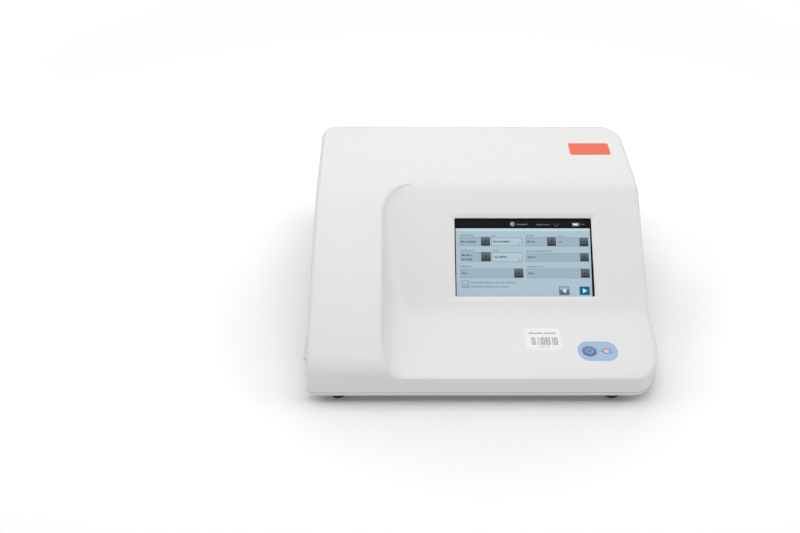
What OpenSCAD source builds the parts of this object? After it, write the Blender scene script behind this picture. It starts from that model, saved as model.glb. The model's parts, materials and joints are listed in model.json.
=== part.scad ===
// Desktop electrocardiograph: a wedge-shaped moulded housing with a tilted touch
// screen, a page printer on a drawer at its left, and a steel chassis inside.
// Millimetres. X runs across the front, Y from front to rear, Z up from the table.

/* [Housing] */
// Width across the side walls at the seam
housing_w = 380.5; // [366:0.5:396]
// Depth from the front face to the rear wall
housing_d = 358; // [346:1:372]
// Height of the top above the table
housing_h = 136.5; // [128:0.5:146]
// Thickness of the moulded walls
wall = 2.5; // [2:0.1:3]
// Height of the seam between top housing and base
seam_z = 14.4; // [13.6:0.1:14.8]
// Inward lean of the side walls, degrees
side_draft = 1.7; // [1:0.1:2.5]
// Fall of the top towards the front, degrees
top_fall = 0.3; // [0.1:0.1:1]
// Radius of the long top edges
edge_r = 6; // [4:0.5:8]
// Radius of the rear top edge
rear_edge_r = 9; // [6:0.5:12]
// Plan radius of the rear left corner
rear_left_r = 24; // [16:1:30]
// Plan radius of the rear right corner
rear_right_r = 34; // [26:1:38]
// Plan radius of the front left corner
front_left_r = 9; // [6:0.5:12]
// Plan reach of the front right corner along X
front_right_r = 32; // [26:1:36]
// Plan reach of the front right corner along Y
front_right_l = 60; // [50:1:66]

/* [Left block] */
// Height of its upright front face
nose_z = 34; // [32:0.5:36]
// Radius of the nose above that face
nose_r = 22; // [18:0.5:26]
// Slope just behind the nose, degrees
slope_low = 31; // [28:0.5:33]
// Slope where it meets the top, degrees
slope_high = 13; // [10:0.5:16]

/* [Console] */
// Height of the front lip of the shelf
lip_z = 35; // [34.5:0.1:36]
// Radius of the lip
lip_r = 1.2; // [1:0.1:2]
// Rise of the shelf towards the screen, degrees
shelf_rise = 3.5; // [2.5:0.1:4.5]
// Tilt of the screen face, degrees
display_tilt = 37.5; // [36:0.5:39]
// Distance from the front to the fold above the screen
fold_y = 220; // [214:1:226]
// Width of the left block beside the scooped console
block_w = 80.75; // [78:0.25:82]
// Width of the hollow fillet along that boundary
fillet_w = 26; // [20:1:32]
// Radius of the crest along that boundary
crest_r = 4; // [2:0.5:5]
// Plan reach of the console's upper left corner along X
corner_r = 32; // [26:1:36]
// Plan reach of the console's upper left corner along Y
corner_l = 50; // [42:1:56]
// Sideways flare of the boundary at the front lip
flare_w = 10; // [6:1:14]
// Reach of that flare behind the lip
flare_l = 40; // [32:1:56]

/* [Screen] */
// Width of the window
window_w = 157.5; // [150:0.5:162]
// Height of the window up the slope
window_h = 93; // [88:0.5:96]
// Centre of the window from the middle of the housing
window_x = 51; // [46:1:56]
// Centre of the window behind the front face
window_y = 150.3; // [146:0.5:154]
// Corner radius of the window
window_r = 1.5; // [1:0.5:3]
// Depth of the shallow recess round the window
recess_depth = 1.4; // [0.8:0.1:1.8]
// Margin of the recess above and below the window
recess_margin = 5; // [3:0.5:7]
// Margin of the recess at each side of the window
recess_side = 12; // [9:0.5:14]
// Thickness of the touch glass
glass_t = 1.8; // [1.1:0.1:2.2]
// Thickness of the screen module
lcd_t = 5; // [4:0.5:6]

/* [Power key] */
// Centre of the oval pad from the middle of the housing
pad_x = 122.5; // [116:0.5:126]
// Centre of the oval pad behind the front face
pad_y = 40.2; // [38:0.2:44]
// Width of the oval pad
pad_w = 43; // [38:1:46]
// Depth of the oval pad
pad_l = 29; // [26:1:32]
// Reach of the pad's rounded ends
pad_end = 12; // [10:0.5:14]
// Thickness of the pad
pad_t = 0.8; // [0.6:0.1:1]
// Diameter of the key
key_d = 14.6; // [12:0.2:16]
// Centre of the key to the left of the pad centre
key_off = 9; // [8.5:0.1:10]
// Centre of the indicator to the right of the pad centre
led_off = 9.2; // [8:0.2:11]
// Diameter of the indicator
led_d = 4.6; // [3:0.2:5]
// Travel of the key
key_travel = 0.6; // [0.4:0.1:0.8]

/* [Paper drawer] */
// Width of the chart paper along Y
paper_w = 216; // [210:1:218]
// Length of a folded page along X
paper_l = 280; // [270:1:284]
// Height of the stack of paper
paper_h = 5.5; // [3:0.5:6]
// Middle of the paper behind the front face
paper_y = 149; // [148:0.5:151]
// Thickness of the drawer's side walls
tray_wall = 2; // [1.6:0.1:2.2]
// Thickness of the drawer's floor
tray_floor = 1.5; // [1.2:0.1:2]
// Height of the drawer's side walls over all
tray_h = 12.2; // [11.8:0.1:12.6]
// Thickness of the drawer's front
face_t = 3; // [2.4:0.1:3.4]
// Height of the top edge of the drawer's front
face_z = 44.5; // [43.5:0.1:45]
// Height of the paper slot above the drawer's front
slot_h = 4.5; // [4:0.1:5]
// Upward travel of the release latch
latch_travel = 3; // [2:0.5:3.5]

/* [Printer] */
// Diameter of the rubber roller
roller_d = 12; // [11:0.2:12.6]
// Diameter of the roller's shaft
shaft_d = 6; // [5:0.2:7]
// Middle of the roller inside the left wall
roller_in = 18; // [17:0.5:20]
// Gear module
gear_m = 0.8; // [0.75:0.01:0.84]
// Teeth of the gear on the roller
roller_teeth = 20; // [18:1:20]
// Teeth of the idler gear
idler_teeth = 24; // [20:1:24]
// Teeth of the motor pinion
pinion_teeth = 12; // [12:1:14]
// Face width of the gears
gear_w = 5; // [4:0.5:6]
// Size of the square motor body
motor_w = 35; // [30:1:36]
// Length of the motor body
motor_l = 27; // [20:1:32]

/* [Base and chassis] */
// Height of the rubber feet
foot_h = 8.8; // [8:0.1:9.4]
// Diameter of the feet
foot_d = 18; // [14:0.5:20]
// Left feet inside the left wall
foot_left_in = 33.25; // [30:0.25:38]
// Right feet inside the right wall
foot_right_in = 53.25; // [46:0.25:58]
// Feet behind the front face
foot_y = 14.5; // [13:0.5:17]
// Thickness of the base floor
base_floor = 2.2; // [2:0.1:2.6]
// Thickness of the steel chassis
chassis_t = 1.2; // [1:0.1:1.5]
// Thickness of the circuit boards
board_t = 1.6; // [1.2:0.1:2]
// Height of the board spacers
spacer_h = 5; // [4:0.5:6]

/* [Rear and side sockets] */
// Depth of the socket bay in the rear wall
bay_depth = 9; // [7:0.5:11]
// Diameter of the earth bonding pin
earth_d = 6; // [5:0.5:7]
// Length of the earth bonding pin
earth_l = 8; // [6:0.5:9]
// Width of the battery pack
battery_w = 100; // [90:1:102]
// Depth of the battery pack
battery_l = 50; // [40:1:52]
// Height of the battery pack
battery_h = 38; // [30:1:40]

/* [Hidden] */

gap = 0.3;              // clearance between pieces that move past each other
fine = 0.05;            // radial clearance of a running shaft
eps = 0.02;
shell_white = [0.93, 0.93, 0.92];
dark_rubber = [0.08, 0.08, 0.09];
steel = [0.70, 0.72, 0.74];
board_green = [0.10, 0.36, 0.22];
pad_blue = [0.62, 0.76, 0.90];
key_blue = [0.20, 0.34, 0.62];

// ---- height of the housing's outer surface -------------------------------------------
function smooth_min(a, b, k) = min(a, b) - pow(max(k - abs(a - b), 0), 2) / (4 * k);
function smooth_max(a, b, k) = max(a, b) + pow(max(k - abs(a - b), 0), 2) / (4 * k);
fold_soft = 6;          // rounding of the fold, measured in height
bend_soft = 8;          // rounding of the bend between shelf and screen face

function rear_drop(y) = let(d = y - (housing_d - rear_edge_r))
    d > 0 ? rear_edge_r - sqrt(max(0, rear_edge_r * rear_edge_r - d * d)) : 0;
function top_z(y) = housing_h - (housing_d - y) * tan(top_fall) - rear_drop(y);
nose_y = nose_r * (1 - sin(slope_low));
nose_top = nose_z + nose_r * cos(slope_low);
top_at_fold = housing_h - (housing_d - fold_y) * tan(top_fall);
block_run = (top_at_fold - nose_top) * 2 / (tan(slope_low) + tan(slope_high));
function block_curve(y) = let(s = y - nose_y)
    nose_top + tan(slope_low) * s - (tan(slope_low) - tan(slope_high)) * s * s / (2 * block_run);
function block_z(y) = y < nose_y
    ? nose_z + sqrt(max(0, nose_r * nose_r - pow(nose_r - y, 2)))
    : smooth_min(top_z(y), block_curve(min(y, nose_y + block_run * 1.3)), fold_soft / 2);
function shelf_z(y) = lip_z + y * tan(shelf_rise);
function screen_z(y) = top_at_fold + (y - fold_y) * tan(display_tilt);
function lip_drop(y) = y < lip_r ? lip_r - sqrt(max(0, lip_r * lip_r - pow(lip_r - y, 2))) : 0;
function console_z(y) =
    smooth_min(top_z(y), smooth_max(screen_z(y), shelf_z(y), bend_soft), fold_soft) - lip_drop(y);
// the console never stands above the block beside it
function console_low(y) = min(console_z(y), block_z(y) - eps);

// ---- plan of the housing ----------------------------------------------------------------
function corner_in(r, l, d) = d < l ? r - r * sqrt(max(0, 1 - pow((l - max(d, 0)) / l, 2))) : 0;
function left_x(y, t) = -housing_w / 2 + t
    + corner_in(front_left_r - t / 2, front_left_r - t / 2, y - t)
    + corner_in(rear_left_r - t, rear_left_r - t, housing_d - t - y);
function right_x(y, t) = housing_w / 2 - t
    - corner_in(front_right_r - t, front_right_l - t, y - t)
    - corner_in(rear_right_r - t, rear_right_r - t, housing_d - t - y);
console_x = -housing_w / 2 + block_w;
function flank_x(y) = console_x
    + corner_in(corner_r, corner_l, max(fold_y - y, 0))
    + (y < flare_l ? flare_w * pow((flare_l - y) / flare_l, 2.2) : 0);

// ---- stations along Y, closer together where the form turns --------------------------------
front_ys = [for (a = [0:15:75]) 18 * (1 - cos(a))];
nose_ys = [for (y = [18:7:39]) y];
shelf_ys = [for (y = [50:12:74]) y];
bend_y = (lip_z - top_at_fold + fold_y * tan(display_tilt)) / (tan(display_tilt) - tan(shelf_rise));
bend_ys = [for (d = [-10:4:10]) bend_y + d];
screen_ys = [for (k = [1:4]) bend_y + 10 + (fold_y - corner_l - bend_y - 10) * k / 5];
fold_ys = [for (a = [0:18:90]) fold_y - corner_l + corner_l * sin(a)];
top_ys = [for (k = [1:5]) fold_y + (housing_d - rear_right_r - fold_y) * k / 5];
rear_ys = [for (a = [15:12.5:90]) housing_d - rear_right_r + rear_right_r * sin(a)];
stations = concat(front_ys, nose_ys, shelf_ys, bend_ys, screen_ys, fold_ys, top_ys, rear_ys);

// ---- one cross-section, from the left rim over the top to the right rim ------------------------
function lean(z) = (z - seam_z) * tan(side_draft);
function section(y, t, h_block, h_console) =
    let(r = edge_r - t,
        drop = max(h_block - h_console, 0.01),
        zl = h_block - r,
        zr = h_console - r,
        x0 = left_x(y, t),
        x1 = right_x(y, t),
        xa = x0 + lean(zl) + r,
        xb = x1 - lean(zr) - r,
        rc = crest_r - t / 2,
        hc = min(rc, drop / 3),
        xf = flank_x(y) - t,
        w = max(4, min(fillet_w, 2.2 * drop)) + t,
        hf = drop - hc)
    concat(
        [[x0, seam_z]],
        [for (a = [0:22.5:90]) [xa - r * cos(a), zl + r * sin(a)]],
        [for (k = [1:3]) [xa + (xf - rc - xa) * k / 3, h_block]],
        [for (a = [30:30:90]) [xf - rc + rc * sin(a), h_block - hc * (1 - cos(a))]],
        [for (a = [15:15:90]) [xf + w - w * cos(a), h_block - hc - hf * sin(a)]],
        [for (k = [1:3]) [xf + w + (xb - xf - w) * k / 3, h_console]],
        [for (a = [67.5:-22.5:0]) [xb + r * cos(a), zr + r * sin(a)]],
        [[x1, seam_z]]);

// heights of the inner face, one wall below the outer one and square to it
function steep(f0, f1, d) = sqrt(1 + pow((f1 - f0) / d, 2));
function block_in(y) = block_z(y) - wall * min(2.4, steep(block_z(y - 0.5), block_z(y + 0.5), 1));
function console_in(y) = console_z(y) - wall * min(2.4, steep(console_z(y - 0.5), console_z(y + 0.5), 1));

module moulded_shell() {
    ts = [0, wall];
    n = len(section(0, 0, nose_z, lip_z - lip_r));
    m = len(stations) + 2;
    // row 0 and row m-1 lie on the rim; rows between are the stations
    rows = [for (t = ts) [for (i = [0:m - 1])
        let(k = min(max(i - 1, 0), m - 3),
            y0 = stations[k],
            y = t + y0 * (housing_d - 2 * t) / housing_d,
            hb = t == 0 ? block_z(y) : block_in(y),
            hc = t == 0 ? console_low(y) : min(console_in(y), hb - eps),
            s = section(y, t, hb, hc),
            rim = i == 0 || i == m - 1)
        [for (p = s) [p[0], y, rim ? seam_z : p[1]]]]];
    points = [for (sheet = rows) for (row = sheet) for (p = row) p];
    function id(sheet, i, j) =
        let(end = j == 0 || j == n - 1, ii = end ? min(max(i, 1), m - 2) : i)
        sheet * m * n + ii * n + j;
    function real(f) = f[0] != f[1] && f[1] != f[2] && f[0] != f[2];
    skin = [for (i = [0:m - 2]) for (j = [0:n - 2]) for (h = [0, 1])
        let(a = [id(0, i, j), id(0, i, j + 1), id(0, i + 1, j + 1), id(0, i + 1, j)],
            b = [id(1, i, j), id(1, i, j + 1), id(1, i + 1, j + 1), id(1, i + 1, j)])
        each [[a[0], a[2 + h], a[1 + h]], [b[0], b[1 + h], b[2 + h]]]];
    loops = [for (s = [0, 1]) concat(
        [for (j = [0:n - 1]) id(s, 0, j)],
        [for (i = [2:m - 2]) id(s, i, n - 1)],
        [for (j = [n - 2:-1:0]) id(s, m - 1, j)],
        [for (i = [m - 3:-1:2]) id(s, i, 0)])];
    c = len(loops[0]);
    rim = [for (k = [0:c - 1]) let(q = (k + 1) % c)
        each [[loops[0][k], loops[1][q], loops[1][k]], [loops[0][k], loops[0][q], loops[1][q]]]];
    polyhedron(points = points, faces = [for (f = concat(skin, rim)) if (real(f)) f], convexity = 8);
}

// ---- places shared by several pieces ---------------------------------------------------------
latch_out = 3.4;        // how far the latch stands out of the left wall
left = -housing_w / 2;
right = housing_w / 2;
base_z = foot_h;
floor_z = base_z + base_floor;
seam_in = 0.8;          // the base is drawn in by this much under the seam
seam_groove = 0.8;      // height of the shadow groove along the seam
base_tongue = 3;        // height of the base's tongue inside the top housing
tongue_in = wall + 2 * gap;
tongue_t = 1.6;
tray_z = seam_z + gap;
tray_top = tray_z + tray_h;
tray_y0 = paper_y - paper_w / 2 - 1;
tray_y1 = paper_y + paper_w / 2 + 1;
side_y0 = tray_y0 - tray_wall;
side_y1 = tray_y1 + tray_wall;
face_x = left + lean(face_z);
face_y0 = side_y0 - 20;
face_y1 = side_y1 + 20;
roller_x = left + roller_in;
roller_z = face_z + 0.5 - roller_d / 2;
page_x = roller_x + roller_d / 2 + 14.5;
tray_x1 = page_x + paper_l + 1;
rail_x0 = left + 7;
rail_x1 = tray_x1 + 8;
rail_t = 2;
chassis_z = tray_top + 0.5;
deck_z = chassis_z + chassis_t;
chassis_x1 = right - 6.5;
chassis_y0 = side_y0 - 5;
chassis_y1 = housing_d - 20;
board_z = deck_z + spacer_h;
parts_z = board_z + board_t;
head_z = roller_z + roller_d / 2 + gap;
head_top = head_z + 7.7;
strip_t = 0.6;
pivot_x = roller_x + 37;
pivot_z = head_z + 9.7;
pivot_d = 4;
frame_t = 1.5;
frame_y0 = side_y0 - 2;
frame_y1 = side_y1 + 2;
frame_top = head_z + 16.7;
gear_y = frame_y1 + 2.5;
mesh_gap = 0.2;         // extra distance between meshing gears
idler_x = roller_x + gear_m * (roller_teeth + idler_teeth) / 2 + mesh_gap;
pinion_angle = 50;
pinion_c = gear_m * (idler_teeth + pinion_teeth) / 2 + mesh_gap;
pinion_x = idler_x + pinion_c * cos(pinion_angle);
pinion_z = roller_z + pinion_c * sin(pinion_angle);
bracket_y = gear_y + gear_w + 2.5;
motor_y = bracket_y + frame_t;
motor_x1 = pinion_x + motor_w / 2;
stud_d = 4;
// layers behind the screen face, measured square to it
rim_depth = wall + 0.5;
gasket_t = 0.8;
glass_z = -rim_depth - gasket_t;
lcd_z = glass_z - glass_t;
bracket_z = lcd_z - lcd_t;
glass_border = 3.4;
ear_x = window_w / 2 + glass_border + 5.5;
ear_y = window_h / 2 - 9;
// layers under the power key, measured square to the shelf
key_flange_z = -wall - gap;
key_foot_z = key_flange_z - 1.6;
switch_z = key_foot_z - key_travel - gap;
switch_h = 1.2;
key_board_z = switch_z - switch_h;
key_board_t = 1;
key_board_w = pad_w + 5;
// rear wall
bay_x0 = left + 40;
bay_w = 148;
bay_z0 = deck_z + 2.8;
bay_h = 34;
bay_t = 1.2;
bay_y = housing_d - wall - bay_depth;
socket_z = bay_z0 + bay_h / 2;
earth_x = bay_x0 + 14;
usb_x = bay_x0 + 36;
usb_pitch = 20;
lan_x = usb_x + usb_pitch + 21;
service_x = lan_x + 20;
inlet_x = service_x + 26;
battery_x = right - 92;
battery_y1 = housing_d - wall - 3;
hatch_w = battery_w + 8;
hatch_z0 = deck_z - 2.2;
hatch_h = battery_h + 14;
hatch_screw_z = hatch_z0 + hatch_h - 5.5;
vent_x0 = bay_x0 + 16;
vent_pitch = 10;
vent_w = 3;
vent_z0 = bay_z0 + bay_h + 14;
vent_h = 24;
// right wall
port_y = 170;
port_z = board_z + 13.8;
port_w = 50;
port_h = 26;
port_depth = 6;
port_x = right - lean(port_z) - port_depth;
// fasteners
boss_d = 8;
screw_d = 3;
mid_x = bay_x0 + bay_w + bay_t + 4.5;      // between the socket bay and the battery
boss_spots = [[left + 16, 14], [20, 14], [right - 25, 24],
              [left + 18, housing_d - 13], [mid_x, housing_d - 13], [right - 21, housing_d - 15]];
post_x = right - 11;
post_spots = [[page_x + 7, chassis_y1 - 8], [mid_x, chassis_y1 - 8], [post_x - 4, chassis_y1 - 8],
              [post_x, 60], [post_x, 232]];
foot_spots = [for (x = [left + foot_left_in, right - foot_right_in])
              for (y = [foot_y, housing_d - foot_y - 16]) [x, y]];
foot_stem_r = 2.95;
// boards: left edge, front edge, width and depth
board_gap = 6;
io_board_box = [usb_x - 12, bay_y - bay_t - 40, service_x - usb_x + 24, 40];
power_board_box = [pivot_x + 23.25, 132, 78, io_board_box[1] - board_gap - 132];
ecg_board_box = [port_x - 35, 120, 32, 100];
main_x0 = power_board_box[0] + power_board_box[2] + board_gap;
main_board_box = [main_x0, 128, ecg_board_box[0] - board_gap - main_x0,
                  battery_y1 - battery_l - board_gap - 128];
flex_socket_y = 16;     // socket of the screen's cable behind the board's front edge
speaker_d = 36;
speaker_h = 10;
speaker_spot = [70, side_y1 + rail_t + speaker_d / 2 + 6];

module at_origin() translate([latch_out / 2, -housing_d / 2, 0]) children();
module on_screen()
    translate([window_x, window_y, screen_z(window_y)]) rotate([display_tilt, 0, 0]) children();
module on_shelf()
    translate([pad_x, pad_y, shelf_z(pad_y)]) rotate([shelf_rise, 0, 0]) children();
module block(x, y, z) translate([x[0], y[0], z[0]]) cube([x[1] - x[0], y[1] - y[0], z[1] - z[0]]);
// a bar or hole along Y
module along_y(x, y0, z, d, l) translate([x, y0, z]) rotate([-90, 0, 0]) cylinder(d = d, h = l, $fn = 48);
// an outline drawn in Y and Z and extruded along X
module across_x(x0, l) translate([x0, 0, 0]) rotate([90, 0, 90]) linear_extrude(l) children();
// an outline drawn in X and Z and extruded along Y
module across_y(y0, l) translate([0, y0 + l, 0]) rotate([90, 0, 0]) linear_extrude(l) children();
module rounded(w, h, r) offset(r, $fn = 24) square([w - 2 * r, h - 2 * r], center = true);
function oval(w, l) = [for (a = [0:7.5:359])
    [(w / 2 - pad_end) * sign(cos(a)) + pad_end * cos(a), l / 2 * sin(a)]];
function plan(t) = concat(
    [for (y = stations) let(v = t + y * (housing_d - 2 * t) / housing_d) [right_x(v, t), v]],
    [for (i = [len(stations) - 1:-1:0])
        let(v = t + stations[i] * (housing_d - 2 * t) / housing_d) [left_x(v, t), v]]);

// ---- housing -----------------------------------------------------------------------------------
function boss_top(p) = let(y = p[1] - boss_d / 2)
    (p[0] > flank_x(p[1]) ? console_low(y) : block_z(y)) - 0.6 * wall;
module screen_recess() {
    half = window_w / 2 + recess_side;
    high = window_h / 2 + recess_margin;
    ramp = [for (k = [0:6]) [recess_side * k / 6, recess_depth * (1 - cos(30 * k)) / 2]];
    on_screen() translate([0, -high, 0]) rotate([-90, 0, 0]) linear_extrude(2 * high)
        polygon(concat([[-half, -1]], [for (p = ramp) [p[0] - half, p[1]]],
                       [for (k = [6:-1:0]) [half - ramp[k][0], ramp[k][1]]], [[half, -1]]));
}
module top_housing() color(shell_white) at_origin() difference() {
    union() {
        moulded_shell();
        on_screen() translate([0, 0, -rim_depth]) linear_extrude(rim_depth - recess_depth)
            square([window_w + 2 * glass_border + 4, window_h + 2 * glass_border + 4], center = true);
        for (sx = [-1, 1]) for (sy = [-1, 1])
            on_screen() translate([sx * ear_x, sy * ear_y, bracket_z])
                cylinder(d = 6, h = -bracket_z - 1, $fn = 32);
        for (sx = [-1, 1]) on_shelf() translate([sx * (key_board_w / 2 - 3.5), 0, key_board_z])
            cylinder(d = 5, h = -key_board_z - 1, $fn = 32);
        for (p = boss_spots) translate([p[0], p[1], seam_z])
            cylinder(d = boss_d, h = boss_top(p) - seam_z, $fn = 32);
        // tab that takes the screw of the battery cover
        block([battery_x - 7, battery_x + 7], [housing_d - wall - 4, housing_d - wall + 0.5],
              [hatch_screw_z - 4.5, hatch_z0 + hatch_h + 4]);
    }
    on_screen() linear_extrude(40, center = true) rounded(window_w, window_h, window_r);
    screen_recess();
    on_shelf() translate([0, 0, -pad_t]) linear_extrude(5) polygon(oval(pad_w + gap, pad_l + gap));
    on_shelf() translate([-key_off, 0, -wall * 2]) cylinder(d = key_d + 0.7, h = wall * 3, $fn = 48);
    on_shelf() translate([led_off, 0, -wall * 2]) cylinder(d = led_d + 0.1, h = wall * 3, $fn = 32);
    for (sx = [-1, 1]) on_shelf() translate([sx * (key_board_w / 2 - 3.5), 0, key_board_z - 1])
        cylinder(d = 1.8, h = 4.5, $fn = 24);
    for (sx = [-1, 1]) for (sy = [-1, 1])
        on_screen() translate([sx * ear_x, sy * ear_y, bracket_z - 1]) cylinder(d = 2, h = 7.5, $fn = 24);
    for (p = boss_spots) translate([p[0], p[1], seam_z - 1]) cylinder(d = 2.6, h = 13, $fn = 24);
    // mouth of the paper drawer
    block([left - 1, left + wall + 4], [face_y0 - gap, face_y1 + gap], [seam_z - 1, face_z + slot_h]);
    // socket bay, battery hatch and patient port
    block([bay_x0, bay_x0 + bay_w], [housing_d - wall - 1, housing_d + 1], [bay_z0, bay_z0 + bay_h]);
    block([battery_x - hatch_w / 2, battery_x + hatch_w / 2], [housing_d - wall, housing_d + 1],
          [hatch_z0, hatch_z0 + hatch_h]);
    along_y(battery_x, housing_d - wall - 5, hatch_screw_z, 2.6, 5);
    block([right - wall - 6, right + 1], [port_y - port_w / 2, port_y + port_w / 2],
          [port_z - port_h / 2, port_z + port_h / 2]);
    // vents behind the power supply
    for (k = [0:7]) block([vent_x0 + k * vent_pitch, vent_x0 + k * vent_pitch + vent_w],
                          [housing_d - wall - 1, housing_d + 1], [vent_z0, vent_z0 + vent_h]);
}

module base_housing() color(shell_white) at_origin() difference() {
    union() {
        translate([0, 0, base_z + 1.5]) linear_extrude(seam_z - seam_groove - base_z - 1.5)
            polygon(plan(seam_in));
        translate([0, 0, base_z]) linear_extrude(seam_z - base_z) polygon(plan(seam_in + 1.2));
        translate([0, 0, floor_z]) linear_extrude(seam_z + base_tongue - floor_z) polygon(plan(tongue_in));
        for (p = post_spots) translate([p[0], p[1], base_z + 0.5])
            cylinder(d = 9, h = chassis_z - base_z - 0.5, $fn = 32);
    }
    difference() {
        translate([0, 0, floor_z]) linear_extrude(30) polygon(plan(tongue_in + tongue_t));
        for (p = boss_spots) translate([p[0], p[1], 0]) cylinder(d = 12, h = seam_z, $fn = 32);
        for (p = post_spots) translate([p[0], p[1], 0]) cylinder(d = 9, h = chassis_z, $fn = 32);
        for (p = foot_spots) translate([p[0], p[1], 0]) cylinder(d = 14, h = floor_z + 1.6, $fn = 32);
    }
    // the tongue stops at the drawer
    block([left - 1, left + 20], [face_y0 - 2, face_y1 + 2], [seam_z, seam_z + 10]);
    for (p = boss_spots) translate([p[0], p[1], 0]) {
        cylinder(d = screw_d + 1, h = 30, $fn = 32);
        cylinder(d = 8, h = base_z + 3, $fn = 32);
    }
    for (p = post_spots) translate([p[0], p[1], chassis_z - 12]) cylinder(d = 2.6, h = 13, $fn = 24);
    for (p = foot_spots) translate([p[0], p[1], 0]) cylinder(r = foot_stem_r + fine, h = 30, $fn = 32);
    // speaker grille
    for (k = [-3:3]) let(l = 2 * sqrt(pow(speaker_d / 2 - 4, 2) - pow(k * 4, 2)))
        translate([speaker_spot[0] + k * 4 - 1, speaker_spot[1] - l / 2, 0]) cube([2, l, 30]);
}

module rubber_feet() color(dark_rubber) at_origin() for (p = foot_spots) translate([p[0], p[1], 0])
    rotate_extrude($fn = 48) polygon([[0, 0], [foot_d / 2 - 1.5, 0], [foot_d / 2 - 0.6, 0.6],
        [foot_d / 2, foot_h], [foot_stem_r, foot_h], [foot_stem_r, floor_z + 1.2], [0, floor_z + 1.2]]);

// a countersunk or pan-headed screw pointing up, its head at z = 0
module screw(d, head_d, head_h, l) {
    cylinder(d = head_d, h = head_h, $fn = 32);
    cylinder(d = d, h = head_h + l, $fn = 32);
}
module housing_screws() color(steel) at_origin() for (p = boss_spots)
    translate([p[0], p[1], base_z + 0.6]) difference() {
        screw(2.6 - eps, 7, 2.4, seam_z - base_z + 7);
        translate([-2.4, -0.5, -1]) cube([4.8, 1, 2]);
        translate([-0.5, -2.4, -1]) cube([1, 4.8, 2]);
    }
module chassis_screws() color(steel) at_origin() for (p = post_spots)
    translate([p[0], p[1], deck_z + 2.2]) mirror([0, 0, 1]) screw(2.6 - eps, 6, 2.2, 10);

// ---- screen --------------------------------------------------------------------------------------
module screen_gasket() color(dark_rubber) at_origin() on_screen() translate([0, 0, glass_z])
    linear_extrude(gasket_t) difference() {
        square([window_w + 2 * glass_border, window_h + 2 * glass_border], center = true);
        square([window_w + 1.6, window_h + 1.6], center = true);
    }
module touch_glass() color([0.16, 0.18, 0.20]) at_origin() on_screen() translate([0, 0, lcd_z])
    linear_extrude(glass_t) rounded(window_w + 2 * glass_border, window_h + 2 * glass_border, 2);
module lcd_module() color(steel) at_origin() on_screen() translate([0, 0, bracket_z]) difference() {
    linear_extrude(lcd_t) square([window_w + 4.5, window_h + 5], center = true);
    // folded corners of the module's frame
    for (sx = [-1, 1]) for (sy = [-1, 1])
        translate([sx * (window_w / 2 + 2.25), sy * (window_h / 2 + 2.5), lcd_t / 2])
            cube([3, 3, lcd_t + 1], center = true);
}
module screen_bracket() color(steel) at_origin() on_screen() translate([0, 0, bracket_z - chassis_t])
    difference() {
        union() {
            linear_extrude(chassis_t) rounded(2 * ear_x + 9, window_h + 6, 3);
            for (sy = [-1, 1]) translate([0, sy * (window_h / 2 + 3 - chassis_t / 2), -2])
                cube([window_w, chassis_t, 4 + eps], center = true);
        }
        for (sx = [-1, 1]) for (sy = [-1, 1]) translate([sx * ear_x, sy * ear_y, -5])
            cylinder(d = 2.8, h = 10, $fn = 24);
        for (k = [-1:1]) translate([k * window_w / 3.2, 0, -5]) linear_extrude(10)
            rounded(window_w / 4.2, window_h / 2, 5);
    }
module screen_screws() color(steel) at_origin() {
    for (sx = [-1, 1]) for (sy = [-1, 1]) on_screen()
        translate([sx * ear_x, sy * ear_y, bracket_z - chassis_t - 1.6]) screw(2 - eps, 4.4, 1.6, 6);
    for (sx = [-1, 1]) on_shelf()
        translate([sx * (key_board_w / 2 - 3.5), 0, key_board_z - key_board_t - 1.2])
            screw(1.8 - eps, 3.6, 1.2, 3.5);
}
module screen_flex() color([0.72, 0.46, 0.16]) at_origin() {
    t = 0.3;
    y1 = window_y - window_h / 4 * cos(display_tilt);
    z1 = screen_z(y1) - (chassis_t - bracket_z) / cos(display_tilt);
    y2 = main_board_box[1] + flex_socket_y;
    route = [[y1, z1 - 0.05], [y1 - 5, z1 - 5.5], [y1 - 4, z1 - 9], [y2 - 5, parts_z + 2],
             [y2, parts_z + 0.2]];
    back = [[y2, parts_z + 0.2 + t], [y2 - 5 + t, parts_z + 2 + t], [y1 - 4 + t, z1 - 9 + t],
            [y1 - 5 + t, z1 - 5.5 + t / 2], [y1 + t, z1 - 0.05]];
    across_x(window_x - 14, 28) polygon(concat(route, back));
}

// ---- power key -----------------------------------------------------------------------------------
module power_pad() color(pad_blue) at_origin() on_shelf() difference() {
    translate([0, 0, -pad_t]) linear_extrude(pad_t) polygon(oval(pad_w, pad_l));
    translate([-key_off, 0, -5]) cylinder(d = key_d + 0.7, h = 10, $fn = 48);
    translate([led_off, 0, -5]) cylinder(d = led_d + 0.1, h = 10, $fn = 32);
}
module power_key() color(key_blue) at_origin() on_shelf() translate([-key_off, 0, 0])
    rotate_extrude($fn = 48) polygon([[0, key_foot_z], [2.5, key_foot_z], [2.5, key_flange_z - 1],
        [key_d / 2 + 1.2, key_flange_z - 1], [key_d / 2 + 1.2, key_flange_z], [key_d / 2, key_flange_z],
        [key_d / 2, 0.3], [key_d / 2 - 0.5, 0.75], [key_d / 2 - 2, 0.95], [key_d / 4, 0.8], [0, 0.7]]);
module key_board() color(board_green) at_origin() on_shelf() difference() {
    union() {
        translate([0, 0, key_board_z - key_board_t / 2]) cube([key_board_w, 22, key_board_t], center = true);
        translate([-key_off, 0, key_board_z + 0.4]) cube([6, 6, 0.8 + eps], center = true);
        translate([-key_off, 0, key_board_z]) cylinder(d = 3.2, h = switch_h, $fn = 24);
        translate([led_off, 0, key_board_z + 0.3]) cube([3, 2, 0.6 + eps], center = true);
    }
    for (sx = [-1, 1]) translate([sx * (key_board_w / 2 - 3.5), 0, key_board_z - 5])
        cylinder(d = 2.2, h = 5 + eps, $fn = 24);
}
led_foot_z = key_board_z + 0.6 + eps;
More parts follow.
